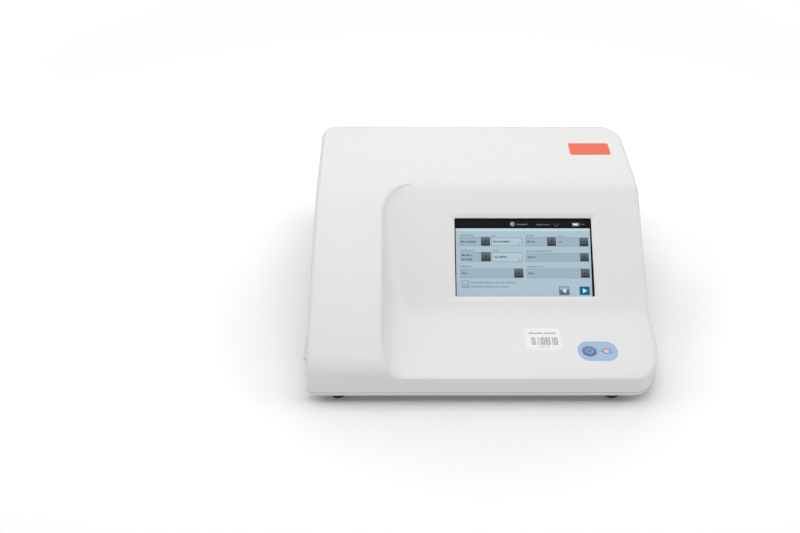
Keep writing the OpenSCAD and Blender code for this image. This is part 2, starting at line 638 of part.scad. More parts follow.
module status_led() color([0.95, 0.62, 0.45]) at_origin() on_shelf() translate([led_off, 0, 0])
    rotate_extrude($fn = 32) polygon([[0, led_foot_z], [1.3, led_foot_z], [1.3, -wall - 0.8],
        [led_d / 2 + 0.9, -wall - 0.8], [led_d / 2 + 0.9, -wall], [led_d / 2, -wall], [led_d / 2, 0],
        [led_d / 4, 0.3], [0, 0.4]]);

// ---- paper drawer ----------------------------------------------------------------------------------
latch_y0 = side_y0 - 14;
latch_y1 = side_y0 - 2.8;
latch_pull_l = 32;
web_y0 = latch_y0 + 2;
web_y1 = web_y0 + 6;
web_z0 = roller_z - 3;
web_z1 = web_z0 + 4;
module paper_drawer() color(shell_white) at_origin() difference() {
    union() {
        block([face_x + face_t - eps, tray_x1 + tray_wall], [side_y0, side_y1],
              [tray_z, tray_z + tray_floor]);
        for (y = [side_y0, tray_y1]) {
            block([face_x + face_t - eps, tray_x1 + tray_wall], [y, y + tray_wall], [tray_z, tray_top]);
            // cheeks that carry the roller
            across_y(y, tray_wall) polygon([[face_x + face_t - eps, tray_z], [roller_x + 18, tray_z],
                [roller_x + 14, tray_top], [roller_x + 9, face_z - 2], [roller_x + 7, face_z],
                [face_x + face_t - eps, face_z]]);
        }
        block([tray_x1, tray_x1 + tray_wall], [side_y0, side_y1], [tray_z, tray_top]);
        block([page_x - 1 - tray_wall, page_x - 1], [side_y0, side_y1], [tray_z, tray_top - 4]);
        // front with rounded corners
        across_x(face_x, face_t) translate([(face_y0 + face_y1) / 2, (tray_z + face_z) / 2])
            rounded(face_y1 - face_y0, face_z - tray_z, 2);
        // lug above the latch spring
        block([face_x + face_t + 2.8, face_x + face_t + 9.4], [side_y0 - 9, side_y0 + eps],
              [web_z0 - 3, web_z0 - 1]);
        // ribs that stiffen the floor under the paper
        for (k = [1:4]) block([page_x - 1, tray_x1],
            [tray_y0 + k * (tray_y1 - tray_y0) / 5 - 0.6, tray_y0 + k * (tray_y1 - tray_y0) / 5 + 0.6],
            [tray_z + tray_floor - eps, tray_z + tray_floor + 0.4]);
    }
    for (y = [side_y0, tray_y1]) along_y(roller_x, y - 1, roller_z, shaft_d + 4 + 0.02, tray_wall + 2);
    block([face_x - 1, face_x + face_t + 1], [web_y0 - gap, web_y1 + gap],
          [web_z0 - gap, web_z1 + latch_travel + gap]);
    // finger notch so that the top sheet can be lifted
    translate([tray_x1 - 1, paper_y, tray_top + 4]) rotate([0, 90, 0])
        cylinder(r = 12, h = tray_wall + 2, $fn = 48);
}
module paper_pack() color([0.97, 0.95, 0.94]) at_origin()
    block([page_x, page_x + paper_l], [paper_y - paper_w / 2, paper_y + paper_w / 2],
          [tray_z + tray_floor + 0.4, tray_z + tray_floor + 0.4 + paper_h]);
module drawer_rails() color(steel) at_origin() for (s = [-1, 1]) {
    inner = s < 0 ? side_y0 - 0.4 : side_y1 + 0.4;
    outer = inner + s * rail_t;
    shelf = inner - s * 6;
    block([rail_x0, rail_x1], [min(inner, outer), max(inner, outer)], [floor_z, chassis_z]);
    block([rail_x0, rail_x1], [min(shelf, outer), max(shelf, outer)], [floor_z, seam_z]);
    // end stop
    block([rail_x1 - 3, rail_x1], [min(shelf, outer), max(shelf, outer)], [floor_z, tray_top]);
}
module drawer_latch() color(shell_white) at_origin() {
    plate_x = face_x + face_t + 0.5;
    out_x = left - latch_out;
    block([plate_x, plate_x + 2], [latch_y0, latch_y1], [tray_z + 1, face_z - latch_travel - 0.5]);
    block([face_x - 1, plate_x + eps], [web_y0, web_y1], [web_z0, web_z1]);
    // pull, hollowed under its edge for a fingertip
    across_y(latch_y0 + 2, latch_pull_l) polygon([[out_x, web_z0 + 1], [out_x + 1.2, web_z0 - 0.5],
        [out_x + 1.8, web_z0 + 2.5], [face_x - 0.4, web_z0 - 2], [face_x - 0.4, web_z1 + 1.5],
        [out_x + 0.8, web_z1 + 0.6], [out_x, web_z1 - 0.6]]);
    // seat of the spring and hook
    block([plate_x + 2 - eps, plate_x + 8.6], [side_y0 - 9, latch_y1], [tray_z + 6, tray_z + 8]);
    block([plate_x + 2 - eps, plate_x + 7], [latch_y0, latch_y0 + 4], [tray_z + 1, tray_z + 3]);
}
// a compression spring standing on z = 0
module coil(r, wire, h, turns) {
    sides = 6;
    rings = 10 * turns;
    function ring(k) = let(a = 360 * turns * k / rings, z = wire + (h - 2 * wire) * k / rings)
        [for (j = [0:sides - 1]) let(b = 360 * j / sides)
            [(r - wire + wire * cos(b)) * cos(a), (r - wire + wire * cos(b)) * sin(a), z + wire * sin(b)]];
    points = [for (k = [0:rings]) each ring(k)];
    sides_f = [for (k = [0:rings - 1]) for (j = [0:sides - 1])
        let(q = (j + 1) % sides, a = k * sides, b = a + sides)
        each [[a + j, b + j, b + q], [a + j, b + q, a + q]]];
    ends = [[for (j = [0:sides - 1]) j], [for (j = [sides - 1:-1:0]) rings * sides + j]];
    polyhedron(points = points, faces = concat(sides_f, ends));
}
module latch_spring() color(steel) at_origin() {
    seat = tray_z + 8;
    translate([face_x + face_t + 6.2, side_y0 - 5.6, seat + gap])
        coil(2.5, 0.35, web_z0 - 3 - seat - 2 * gap, 4);
}

// ---- roller and gears ----------------------------------------------------------------------------------
module platen_roller() color([0.20, 0.20, 0.22]) at_origin() difference() {
    along_y(roller_x, tray_y0 + 1.5, roller_z, roller_d, tray_y1 - tray_y0 - 3);
    along_y(roller_x, tray_y0, roller_z, shaft_d + eps, tray_y1 - tray_y0);
}
module platen_shaft() color(steel) at_origin()
    along_y(roller_x, side_y0 - 1.5, roller_z, shaft_d, gear_y + gear_w + 1 - side_y0 + 1.5);
module platen_bushes() color([0.76, 0.60, 0.30]) at_origin() for (y = [side_y0, tray_y1]) difference() {
    along_y(roller_x, y, roller_z, shaft_d + 4, tray_wall);
    along_y(roller_x, y - 1, roller_z, shaft_d + 2 * fine, tray_wall + 2);
}
// spur gear of n teeth along Y with one tooth at angle phase, measured from +X towards +Z
module gear(n, x, z, y, phase, bore) {
    pitch = gear_m * n / 2;
    tip = pitch + 0.9 * gear_m;
    root = pitch - 1.15 * gear_m;
    step = 360 / n;
    function at(r, a) = [r * cos(a), r * sin(a)];
    translate([x, 0, z]) across_y(y, gear_w) rotate(phase) difference() {
        polygon([for (k = [0:n - 1]) each [at(root, (k - 0.34) * step), at(pitch, (k - 0.225) * step),
            at(tip, (k - 0.11) * step), at(tip, (k + 0.11) * step), at(pitch, (k + 0.225) * step),
            at(root, (k + 0.34) * step)]]);
        circle(d = bore, $fn = 48);
    }
}
idler_phase = 180 + 180 / idler_teeth;
// teeth of the idler between its own phase and the line to the pinion
teeth_between = (pinion_angle - idler_phase) * idler_teeth / 360;
pinion_phase = pinion_angle + 180 + (teeth_between + 0.5) * 360 / pinion_teeth;
module platen_gear() color([0.90, 0.90, 0.86]) at_origin()
    gear(roller_teeth, roller_x, roller_z, gear_y, 0, shaft_d + eps);
module idler_gear() color([0.90, 0.90, 0.86]) at_origin()
    gear(idler_teeth, idler_x, roller_z, gear_y, idler_phase, stud_d + 2 * fine);
module motor_pinion() color([0.80, 0.66, 0.35]) at_origin() {
    gear(pinion_teeth, pinion_x, pinion_z, gear_y, pinion_phase, 1);
    along_y(pinion_x, gear_y, pinion_z, 3, motor_y + 2 - gear_y);
}
module drive_motor() color([0.16, 0.16, 0.17]) at_origin() difference() {
    union() {
        translate([pinion_x, 0, pinion_z]) across_y(motor_y, motor_l) rounded(motor_w, motor_w, 3);
        along_y(pinion_x, motor_y - frame_t, pinion_z, 16, frame_t + 1);
    }
    along_y(pinion_x, motor_y - frame_t - 1, pinion_z, 3 + 2 * fine, frame_t + 4);
}
module motor_bracket() color(steel) at_origin() difference() {
    union() {
        across_y(bracket_y, frame_t) polygon([[idler_x - 11, roller_z - 5], [page_x + 1, deck_z],
            [motor_x1, deck_z], [motor_x1, pinion_z + motor_w / 2],
            [pinion_x - motor_w / 2, pinion_z + motor_w / 2], [idler_x - 11, roller_z + 7]]);
        block([page_x + 1, motor_x1], [bracket_y, motor_y + 14], [deck_z, deck_z + frame_t]);
        // riveted stud of the idler gear, with its retaining ring
        along_y(idler_x, gear_y - 1.6, roller_z, stud_d, bracket_y - gear_y + 1.7);
        along_y(idler_x, gear_y - 1.3, roller_z, stud_d + 3, 1);
    }
    along_y(pinion_x, bracket_y - 1, pinion_z, 16 + 2 * eps, frame_t + 2);
}

// ---- print head ---------------------------------------------------------------------------------------
module printer_frame() color(steel) at_origin() difference() {
    union() {
        back_x = pivot_x + 15;
        block([page_x + 1, back_x], [frame_y0, frame_y1], [deck_z, deck_z + frame_t]);
        block([back_x - frame_t, back_x], [frame_y0, frame_y1], [deck_z, frame_top]);
        block([roller_x + 2, back_x], [frame_y0, frame_y1], [frame_top - frame_t, frame_top]);
        for (y = [frame_y0, frame_y1 - frame_t]) across_y(y, frame_t)
            polygon([[page_x + 1, deck_z], [back_x, deck_z], [back_x, frame_top], [roller_x + 2, frame_top],
                     [roller_x + 2, frame_top - 4], [pivot_x - 12, head_z + 3], [page_x + 1, deck_z + 8]]);
    }
    along_y(pivot_x, frame_y0 - 1, pivot_z, pivot_d + eps, frame_y1 - frame_y0 + 2);
    for (k = [0:3]) block([pivot_x + 10, pivot_x + 20],
        [frame_y0 + 20 + k * 50, frame_y0 + 50 + k * 50], [deck_z + 8, frame_top - 10]);
}
module print_head() color([0.78, 0.79, 0.80]) at_origin() difference() {
    union() {
        // finned heat sink over the roller
        across_y(tray_y0 + 2, tray_y1 - tray_y0 - 4) polygon([[roller_x - 9.5, head_z + 2],
            [roller_x - 6, head_z + strip_t], [roller_x + 6, head_z + strip_t],
            [roller_x + 12, head_z + 2.5], [roller_x + 12, head_top], [roller_x - 9.5, head_top]]);
        // arms back to the pivot
        for (y = [tray_y0 + 2, tray_y1 - 5]) {
            across_y(y, 3) polygon([[roller_x + 8, head_z + 2.5], [pivot_x - 1, pivot_z - 3.8],
                [pivot_x - 1, pivot_z + 3.8], [roller_x + 8, head_top]]);
            along_y(pivot_x, y, pivot_z, 8, 3);
        }
    }
    along_y(pivot_x, tray_y0 - 1, pivot_z, pivot_d + 2 * fine, tray_y1 - tray_y0 + 2);
    for (k = [0:3]) block([roller_x - 7.5 + k * 5, roller_x - 5 + k * 5], [tray_y0, tray_y1],
                          [head_z + 4.2, head_z + 9]);
}
module heater_strip() color([0.86, 0.84, 0.78]) at_origin()
    block([roller_x - 4.5, roller_x + 5], [tray_y0 + 3, tray_y1 - 3], [head_z, head_z + strip_t]);
module head_pivot() color(steel) at_origin()
    along_y(pivot_x, frame_y0 - 1, pivot_z, pivot_d, frame_y1 - frame_y0 + 2);
spring_ys = [tray_y0 + 40, tray_y1 - 40];
module head_springs() color(steel) at_origin() for (y = spring_ys)
    translate([roller_x + 9, y, head_top]) coil(2.4, 0.4, frame_top - frame_t - head_top, 3);
module tear_bar() color(steel) at_origin() {
    y0 = tray_y0 + 2;
    teeth = floor((tray_y1 - tray_y0 - 4) / 3);
    z0 = face_z + slot_h - 2;
    across_x(left + wall + lean(z0 + 9) + 0.1, 0.8) polygon(concat(
        [[y0, z0 + 9], [y0, z0 + 1.5]],
        [for (k = [0:teeth - 1]) each [[y0 + 3 * k + 1.5, z0], [y0 + 3 * k + 3, z0 + 1.5]]],
        [[y0 + 3 * teeth, z0 + 9]]));
}

// ---- chassis and boards --------------------------------------------------------------------------------
module chassis() color(steel) at_origin() difference() {
    union() {
        block([page_x, chassis_x1], [chassis_y0, chassis_y1], [chassis_z, deck_z]);
        block([battery_x - battery_w / 2 - 2, battery_x + battery_w / 2 + 2], [chassis_y1 - 1, battery_y1],
              [chassis_z, deck_z]);
        // turned-up edge under the sockets
        block([page_x + 22, mid_x - 8], [chassis_y1 - chassis_t, chassis_y1], [chassis_z, deck_z + 2]);
    }
    for (p = post_spots) translate([p[0], p[1], 0]) cylinder(d = screw_d + 0.4, h = 60, $fn = 32);
    // lightening windows over the paper bay
    for (i = [0:3]) for (j = [0:1]) translate([-80 + i * 55, 96 + j * 96, 0]) linear_extrude(60)
        rounded(30, 20, 5);
    // holes for the driver under the screws of the key board
    for (sx = [-1, 1]) translate([pad_x + sx * (key_board_w / 2 - 3.5), pad_y, 0])
        cylinder(d = 8, h = 60, $fn = 32);
}
function board_corners(b) = [for (sx = [4, b[2] - 4]) for (sy = [4, b[3] - 4]) [b[0] + sx, b[1] + sy]];
boards = [main_board_box, power_board_box, ecg_board_box, io_board_box];
module board_spacers() color([0.80, 0.70, 0.42]) at_origin() for (b = boards) for (p = board_corners(b))
    translate([p[0], p[1], deck_z]) {
        cylinder(d = 5, h = spacer_h, $fn = 24);
        cylinder(d = 2.4, h = spacer_h + board_t + 1.5, $fn = 24);
    }
module board(b) difference() {
    block([b[0], b[0] + b[2]], [b[1], b[1] + b[3]], [board_z, parts_z]);
    for (p = board_corners(b)) translate([p[0], p[1], 0]) cylinder(d = 2.5, h = 80, $fn = 24);
}
// a component on a board, given from the board's corner
module chip(b, x, y, w, l, h) translate([b[0] + x, b[1] + y, parts_z - eps]) cube([w, l, h + eps]);
// a round capacitor on a board
module can(b, x, y, d, h) translate([b[0] + x, b[1] + y, parts_z - eps]) cylinder(d = d, h = h, $fn = 28);
module main_board() color(board_green) at_origin() {
    b = main_board_box;
    board(b);
    chip(b, 92, 60, 27, 27, 2.2);
    chip(b, 58, 58, 14, 18, 1.2);
    chip(b, 58, 84, 14, 18, 1.2);
    chip(b, b[2] - 30, 64, 10, 10, 1.5);
    chip(b, b[2] - 26, b[3] - 34, 16, 22, 8);
    chip(b, 20, 100, 20, 12, 6);
    chip(b, window_x - 15 - b[0], flex_socket_y, 30, 5, 2.2);
    for (k = [0:4]) chip(b, 14, 20 + k * 14, 8, 8, 4);
    for (k = [0:3]) can(b, 40, 24 + k * 12, 8, 9);
}
module power_supply() color(board_green) at_origin() {
    b = power_board_box;
    board(b);
    chip(b, 12, 50, 34, 30, 24);
    chip(b, 54, 40, 4, 60, 22);
    chip(b, 12, 92, 22, 20, 14);
    for (k = [0:1]) can(b, 24 + k * 22, 24, 18, 20);
    chip(b, 14, b[3] - 24, 28, 14, 12);
}
module ecg_board() color(board_green) at_origin() {
    b = ecg_board_box;
    board(b);
    chip(b, 10, 76, 12, 12, 1.6);
    chip(b, 4, 10, 5, 10, 4);
}
module ecg_shield() color(steel) at_origin() difference() {
    b = ecg_board_box;
    translate([b[0] + 10, b[1] + 8, parts_z]) cube([18, 20, 6]);
    translate([b[0] + 10.4, b[1] + 8.4, parts_z - 1]) cube([17.2, 19.2, 6.5]);
    for (i = [0:2]) for (j = [0:2]) translate([b[0] + 14 + i * 5, b[1] + 13 + j * 5, parts_z])
        cylinder(d = 1.4, h = 9, $fn = 16);
}
module io_board() color(board_green) at_origin() {
    b = io_board_box;
    board(b);
    chip(b, 34, 6, 12, 12, 1.6);
    chip(b, 58, 4, 14, 12, 5);
}
module speaker() color([0.14, 0.14, 0.15]) at_origin() translate([speaker_spot[0], speaker_spot[1], floor_z])
    rotate_extrude($fn = 48) polygon([[0, 3], [6, 1.8], [speaker_d / 2 - 3, 1.2], [speaker_d / 2 - 3, 0],
        [speaker_d / 2, 0], [speaker_d / 2, 3], [speaker_d / 2 - 6, 6], [9, 6.5], [9, speaker_h],
        [0, speaker_h]]);

// ---- sockets ---------------------------------------------------------------------------------------------
module rear_panel() color([0.82, 0.83, 0.84]) at_origin() difference() {
    union() {
        block([bay_x0 - 4, bay_x0 + bay_w + 4], [housing_d - wall - bay_t, housing_d - wall - eps],
              [bay_z0 - 1.5, bay_z0 + bay_h + 4]);
        block([bay_x0 - bay_t, bay_x0 + bay_w + bay_t], [bay_y - bay_t, housing_d - wall - bay_t / 2],
              [bay_z0 - bay_t, bay_z0 + bay_h + bay_t]);
    }
    block([bay_x0, bay_x0 + bay_w], [bay_y, housing_d], [bay_z0, bay_z0 + bay_h]);
    translate([inlet_x, 0, socket_z]) across_y(bay_y - 5, 10) square([27.6, 20], center = true);
    along_y(earth_x, bay_y - 5, socket_z, earth_d + 2 * eps, 10);
    for (k = [0:1]) block([usb_x + k * usb_pitch - 6.9, usb_x + k * usb_pitch + 6.9], [bay_y - 5, bay_y + 5],
                          [parts_z - 0.2, parts_z + 16]);
    block([lan_x - 8.3, lan_x + 8.3], [bay_y - 5, bay_y + 5], [parts_z - 0.2, parts_z + 13.8]);
    block([service_x - 4.1, service_x + 4.1], [bay_y - 5, bay_y + 5], [parts_z - 0.2, parts_z + 4.2]);
}
module inlet_outline(w, h, c) polygon([[-w / 2, -h / 2], [w / 2, -h / 2], [w / 2, h / 2 - c],
                                       [w / 2 - c, h / 2], [-w / 2 + c, h / 2], [-w / 2, h / 2 - c]]);
inlet_blades = [[-7, -2], [7, -2], [0, 2]];
module blades() for (p = inlet_blades) translate([inlet_x + p[0], bay_y - 19, socket_z + p[1]])
    translate([-1, 0, -2]) cube([2, 19, 4]);
module mains_inlet() color([0.10, 0.10, 0.11]) at_origin() difference() {
    union() {
        translate([inlet_x, 0, socket_z]) across_y(bay_y - 15, 16) inlet_outline(27, 19.4, 4);
        translate([inlet_x, 0, socket_z]) across_y(bay_y, 2) rounded(31, 24, 2);
    }
    translate([inlet_x, 0, socket_z]) across_y(bay_y - 13, 20) inlet_outline(24, 16.4, 3.5);
    blades();
}
module inlet_pins() color([0.80, 0.78, 0.70]) at_origin() blades();
module earth_pin() color([0.85, 0.78, 0.52]) at_origin() {
    along_y(earth_x, bay_y - bay_t - 3, socket_z, earth_d, earth_l + bay_t + 4.5);
    along_y(earth_x, bay_y, socket_z, earth_d + 4, 1.5);
    translate([earth_x, bay_y - bay_t, socket_z]) rotate([90, 0, 0]) cylinder(d = 12, h = 2.4, $fn = 6);
}
usb_levels = [parts_z + 1.3, parts_z + 9.2];
module usb_ports() color([0.78, 0.79, 0.80]) at_origin() for (k = [0:1]) {
    x = usb_x + k * usb_pitch;
    difference() {
        block([x - 6.6, x + 6.6], [bay_y - 16, bay_y + 1.5], [parts_z, parts_z + 15.7]);
        for (z = usb_levels) block([x - 6.1, x + 6.1], [bay_y - 11, bay_y + 2], [z, z + 5.2]);
    }
    for (z = usb_levels) block([x - 5.5, x + 5.5], [bay_y - 11 - eps, bay_y - 1], [z + 3, z + 4.8]);
}
module network_port() color([0.78, 0.79, 0.80]) at_origin() difference() {
    block([lan_x - 8, lan_x + 8], [bay_y - 19, bay_y + 1.5], [parts_z, parts_z + 13.4]);
    block([lan_x - 5.9, lan_x + 5.9], [bay_y - 11, bay_y + 2], [parts_z + 3.2, parts_z + 10.2]);
    block([lan_x - 3, lan_x + 3], [bay_y - 11, bay_y + 2], [parts_z + 1.4, parts_z + 3.3]);
}
module service_port() color([0.78, 0.79, 0.80]) at_origin() difference() {
    block([service_x - 3.85, service_x + 3.85], [bay_y - 8, bay_y + 0.8], [parts_z, parts_z + 3.95]);
    block([service_x - 3.4, service_x + 3.4], [bay_y - 5, bay_y + 2], [parts_z + 0.45, parts_z + 3.5]);
}
module d_outline(w, h, r) offset(r, $fn = 20)
    polygon([[-w / 2 + r, h / 2 - r], [w / 2 - r, h / 2 - r], [w / 2 - r - 1.2, -h / 2 + r],
             [-w / 2 + r + 1.2, -h / 2 + r]]);
module patient_plate() color([0.35, 0.37, 0.40]) at_origin() difference() {
    wall_x = right - lean(port_z + port_h / 2 + 3) - wall;
    union() {
        block([wall_x - 1.2, wall_x - eps], [port_y - port_w / 2 - 3, port_y + port_w / 2 + 3],
              [port_z - port_h / 2 - 3, port_z + port_h / 2 + 3]);
        block([port_x - 1.2, wall_x - 0.5], [port_y - port_w / 2 - 1.2, port_y + port_w / 2 + 1.2],
              [port_z - port_h / 2 - 1.2, port_z + port_h / 2 + 1.2]);
    }
    block([port_x, right], [port_y - port_w / 2, port_y + port_w / 2],
          [port_z - port_h / 2, port_z + port_h / 2]);
    translate([0, port_y, port_z]) across_x(port_x - 3, 6) d_outline(26, 9.4, 2.2);
}
module patient_port() color([0.80, 0.81, 0.82]) at_origin() translate([0, port_y, port_z]) {
    across_x(port_x, 0.8) rounded(39.2, 12.5, 1.5);
    difference() {
        across_x(port_x - 10, 15) d_outline(25, 8.4, 2);
        across_x(port_x + 4, 2) d_outline(23.6, 7, 1.5);
    }
    // legs down to the board
    block([port_x - 10, port_x - 5], [-11, 11], [parts_z - port_z, -4]);
    for (s = [-1, 1]) translate([port_x, s * 16.65, 0]) rotate([0, 90, 0]) difference() {
        cylinder(d = 5.4, h = 5, $fn = 6);
        translate([0, 0, 1]) cylinder(d = 2.8, h = 5, $fn = 24);
    }
}

// ---- battery ---------------------------------------------------------------------------------------------
module battery_pack() color([0.12, 0.20, 0.36]) at_origin() hull() for (s = [-1, 1])
    block([battery_x - battery_w / 2 + (1 - s) / 2, battery_x + battery_w / 2 - (1 - s) / 2],
          [battery_y1 - battery_l, battery_y1], [deck_z + (1 + s) / 2, deck_z + battery_h - (1 + s) / 2]);
module battery_cover() color(shell_white) at_origin() difference() {
    union() {
        block([battery_x - hatch_w / 2 + gap, battery_x + hatch_w / 2 - gap],
              [housing_d - wall + eps, housing_d],
              [hatch_z0 + gap, hatch_z0 + hatch_h - gap]);
        // tongues that hook behind the lower edge
        for (s = [-1, 1]) block([battery_x + s * hatch_w / 4 - 6, battery_x + s * hatch_w / 4 + 6],
            [housing_d - wall - 1.8, housing_d - wall + 0.5], [hatch_z0 + 1, hatch_z0 + 5]);
        for (s = [-1, 1]) block([battery_x + s * hatch_w / 4 - 6, battery_x + s * hatch_w / 4 + 6],
            [housing_d - wall - 1.8, housing_d - wall - 0.1], [hatch_z0 - 3, hatch_z0 + 2]);
    }
    along_y(battery_x, housing_d - wall - 1, hatch_screw_z, screw_d + 0.4, wall + 2);
    along_y(battery_x, housing_d - 1.3, hatch_screw_z, 6.4, 2);
}
module battery_screw() color(steel) at_origin()
    translate([battery_x, housing_d - 0.1, hatch_screw_z]) rotate([90, 0, 0]) difference() {
        screw(2.6 - eps, 6, 1.2, 4.6);
        translate([-2, -0.5, -1]) cube([4, 1, 1.6]);
    }

top_housing();
base_housing();
screen_gasket();
touch_glass();
lcd_module();
screen_bracket();
screen_screws();
power_pad();
power_key();
key_board();
status_led();
paper_drawer();
drawer_rails();
drawer_latch();
latch_spring();
platen_roller();
platen_shaft();
platen_gear();
platen_bushes();
paper_pack();
tear_bar();
printer_frame();
print_head();
heater_strip();
head_pivot();
head_springs();
motor_bracket();
idler_gear();
drive_motor();
motor_pinion();
chassis();
board_spacers();
main_board();
power_supply();
ecg_board();
ecg_shield();
io_board();
rear_panel();
mains_inlet();
inlet_pins();
earth_pin();
usb_ports();
network_port();
service_port();
patient_port();
patient_plate();
battery_pack();
battery_cover();
battery_screw();
speaker();
screen_flex();
rubber_feet();
housing_screws();
chassis_screws();
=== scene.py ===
"""Looks of a desktop electrocardiograph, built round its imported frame.

Sizes in the code are in millimetres, measured from the middle of the housing, its front face
and the table; MM turns them into metres. Places on the tilted screen face are measured from
the middle of the window, those on the shelf from the middle of the power pad.
"""

import json
import math
import random

import bmesh
import bpy
from bpy.props import FloatProperty, FloatVectorProperty, IntProperty, PointerProperty
from mathutils import Matrix, Vector


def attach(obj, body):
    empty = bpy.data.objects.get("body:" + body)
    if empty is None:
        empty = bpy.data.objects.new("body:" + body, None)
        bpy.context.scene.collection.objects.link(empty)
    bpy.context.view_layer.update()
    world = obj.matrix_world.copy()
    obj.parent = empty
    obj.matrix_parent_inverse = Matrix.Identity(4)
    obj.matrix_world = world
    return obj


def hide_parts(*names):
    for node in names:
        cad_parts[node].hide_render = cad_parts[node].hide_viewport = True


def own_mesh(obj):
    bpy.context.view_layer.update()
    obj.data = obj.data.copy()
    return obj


bl_info = {
    "name": "Electrocardiograph looks",
    "version": (1, 0, 0),
    "blender": (4, 5, 0),
    "location": "View3D > Sidebar > ECG",
    "description": "Builds the finishes and fine pieces of a desktop electrocardiograph",
    "category": "Object",
}

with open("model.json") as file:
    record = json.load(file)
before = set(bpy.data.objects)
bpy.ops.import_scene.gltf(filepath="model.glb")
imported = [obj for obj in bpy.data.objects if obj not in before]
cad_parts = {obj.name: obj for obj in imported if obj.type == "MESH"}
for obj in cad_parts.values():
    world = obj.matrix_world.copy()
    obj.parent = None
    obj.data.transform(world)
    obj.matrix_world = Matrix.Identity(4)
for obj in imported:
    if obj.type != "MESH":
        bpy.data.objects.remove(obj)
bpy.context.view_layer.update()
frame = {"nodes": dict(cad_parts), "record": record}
NODES = frame["nodes"]
MM = 0.001
MIDDLE = Vector((1.7, -179.0, 0.0))


def place(x, y, z):
    """A point in metres, given from the middle of the housing and its front face in millimetres."""
    return (Vector((x, y, z)) + MIDDLE) * MM


def plane(x, y, z, tilt=0.0):
    """The frame of a face tilted about X, with its own X across, Y up the face and Z out of it."""
    return Matrix.Translation(place(x, y, z)) @ Matrix.Rotation(math.radians(tilt), 4, "X")


def wall(x, y, z, turn):
    """The frame of an upright face: X across, Y up and Z out of it, turned about the vertical."""
    upright = Matrix.Rotation(math.radians(turn), 4, "Z") @ Matrix.Rotation(math.radians(90), 4, "X")
    return Matrix.Translation(place(x, y, z)) @ upright


FACE = plane(51.0, 150.3, 82.29, 37.5)
SHELF = plane(122.5, 40.2, 37.459, 3.5)
GLASS_DEPTH = -3.8
REAR = 358.0
SEAM_Z = 14.4
ROLLER = (-172.25, 39.0)  # across and up
BOARD_TOP = 35.2
LEG_PITCH = 1.27
USB_X = (-114.25, -94.25)
LAN_X = -73.25
LAYER = 0.03  # thickness of one layer of the screen's picture
# rounded edges of small pieces, in metres
HAIR, FINE, SOFT = 0.1 * MM, 0.2 * MM, 0.3 * MM

# ---- settings ----


def colour(name, text, value):
    return FloatVectorProperty(name=name, description=text, subtype="COLOR", size=3, min=0.0, max=1.0, default=value)


def number(name, text, low, high, value, **more):
    return FloatProperty(name=name, description=text, min=low, max=high, default=value, **more)


def length(name, text, low, high, value):
    return number(name, text, low, high, value, subtype="DISTANCE", unit="LENGTH")


class HousingLook(bpy.types.PropertyGroup):
    """Finish of the moulded housing."""

    white: colour("White", "Colour of the moulded housing", (0.82, 0.82, 0.805))
    # painted shade: colour of the dark strip that stands in for the shadow in the seam's gap
    seam: colour("Seam", "Colour of the gasket in the seam", (0.42, 0.42, 0.42))
    roughness: number("Roughness", "Roughness of the moulded housing", 0.1, 0.9, 0.42)
    grain: length("Grain", "Size of the moulded texture", 0.0002, 0.003, 0.0007)
    edge: length("Edge radius", "Radius of the small moulded edges", 0.0001, 0.001, 0.0005)


class ScreenLook(bpy.types.PropertyGroup):
    """Picture on the touch screen."""

    page: colour("Page", "Colour of the page", (0.355, 0.460, 0.515))
    field: colour("Field", "Colour of the entry fields", (0.285, 0.380, 0.450))
    button: colour("Button", "Colour of the dark buttons", (0.036, 0.046, 0.055))
    accent: colour("Accent", "Colour of the forward button", (0.003, 0.125, 0.245))
    bar: colour("Bar", "Colour of the status bar", (0.004, 0.004, 0.006))
    glow: number("Glow", "Light of the picture itself", 0.0, 2.0, 0.32)


class ControlLook(bpy.types.PropertyGroup):
    """Power pad, key and lamp."""

    pad: colour("Pad", "Colour of the power pad", (0.33, 0.50, 0.70))
    key: colour("Key", "Colour of the power key", (0.09, 0.17, 0.33))
    mark: colour("Mark", "Colour of the mark on the key", (0.30, 0.43, 0.62))
    lamp: colour("Lamp", "Colour of the lit lamp", (0.92, 0.42, 0.28))


class LabelLook(bpy.types.PropertyGroup):
    """Blank sticker and label."""

    sticker: colour("Sticker", "Colour of the sticker", (0.86, 0.145, 0.08))
    label: colour("Label", "Colour of the label", (0.89, 0.89, 0.88))


class PaperLook(bpy.types.PropertyGroup):
    """Chart paper in the drawer."""

    line: colour("Grid", "Colour of the chart grid", (0.80, 0.36, 0.34))
    sheets: IntProperty(name="Sheets", description="Sheets seen in the stack", min=6, max=60, default=18)


class StageLook(bpy.types.PropertyGroup):
    """Floor, lamps and camera."""

    focal: number("Lens", "Focal length", 20.0, 90.0, 45.14)
    sky: number("Sky", "Strength of the even light", 0.0, 2.0, 0.0)
    lamp: number("Lamp", "Share of each lamp's power", 0.0, 4.0, 0.965, subtype="FACTOR")


# ---- meshes ----


def assign(mesh, materials):
    """Gives a mesh its materials, each ready made or named in Finishes."""
    mesh.materials.clear()
    for m in materials:
        mesh.materials.append(Finishes.get(m) if isinstance(m, str) else m)


def piece(name, mesh, materials):
    """A new object for a mesh, with its materials."""
    made = bpy.data.objects.new(name, mesh)
    bpy.context.collection.objects.link(made)
    assign(mesh, materials)
    return made


def settle(made, body, smooth):
    """Smooths a piece between its sharp edges and gives it its body."""
    if smooth:
        made.data.shade_smooth()
        made.data.set_sharp_from_angle(angle=math.radians(smooth))
    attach(made, body)
    return made


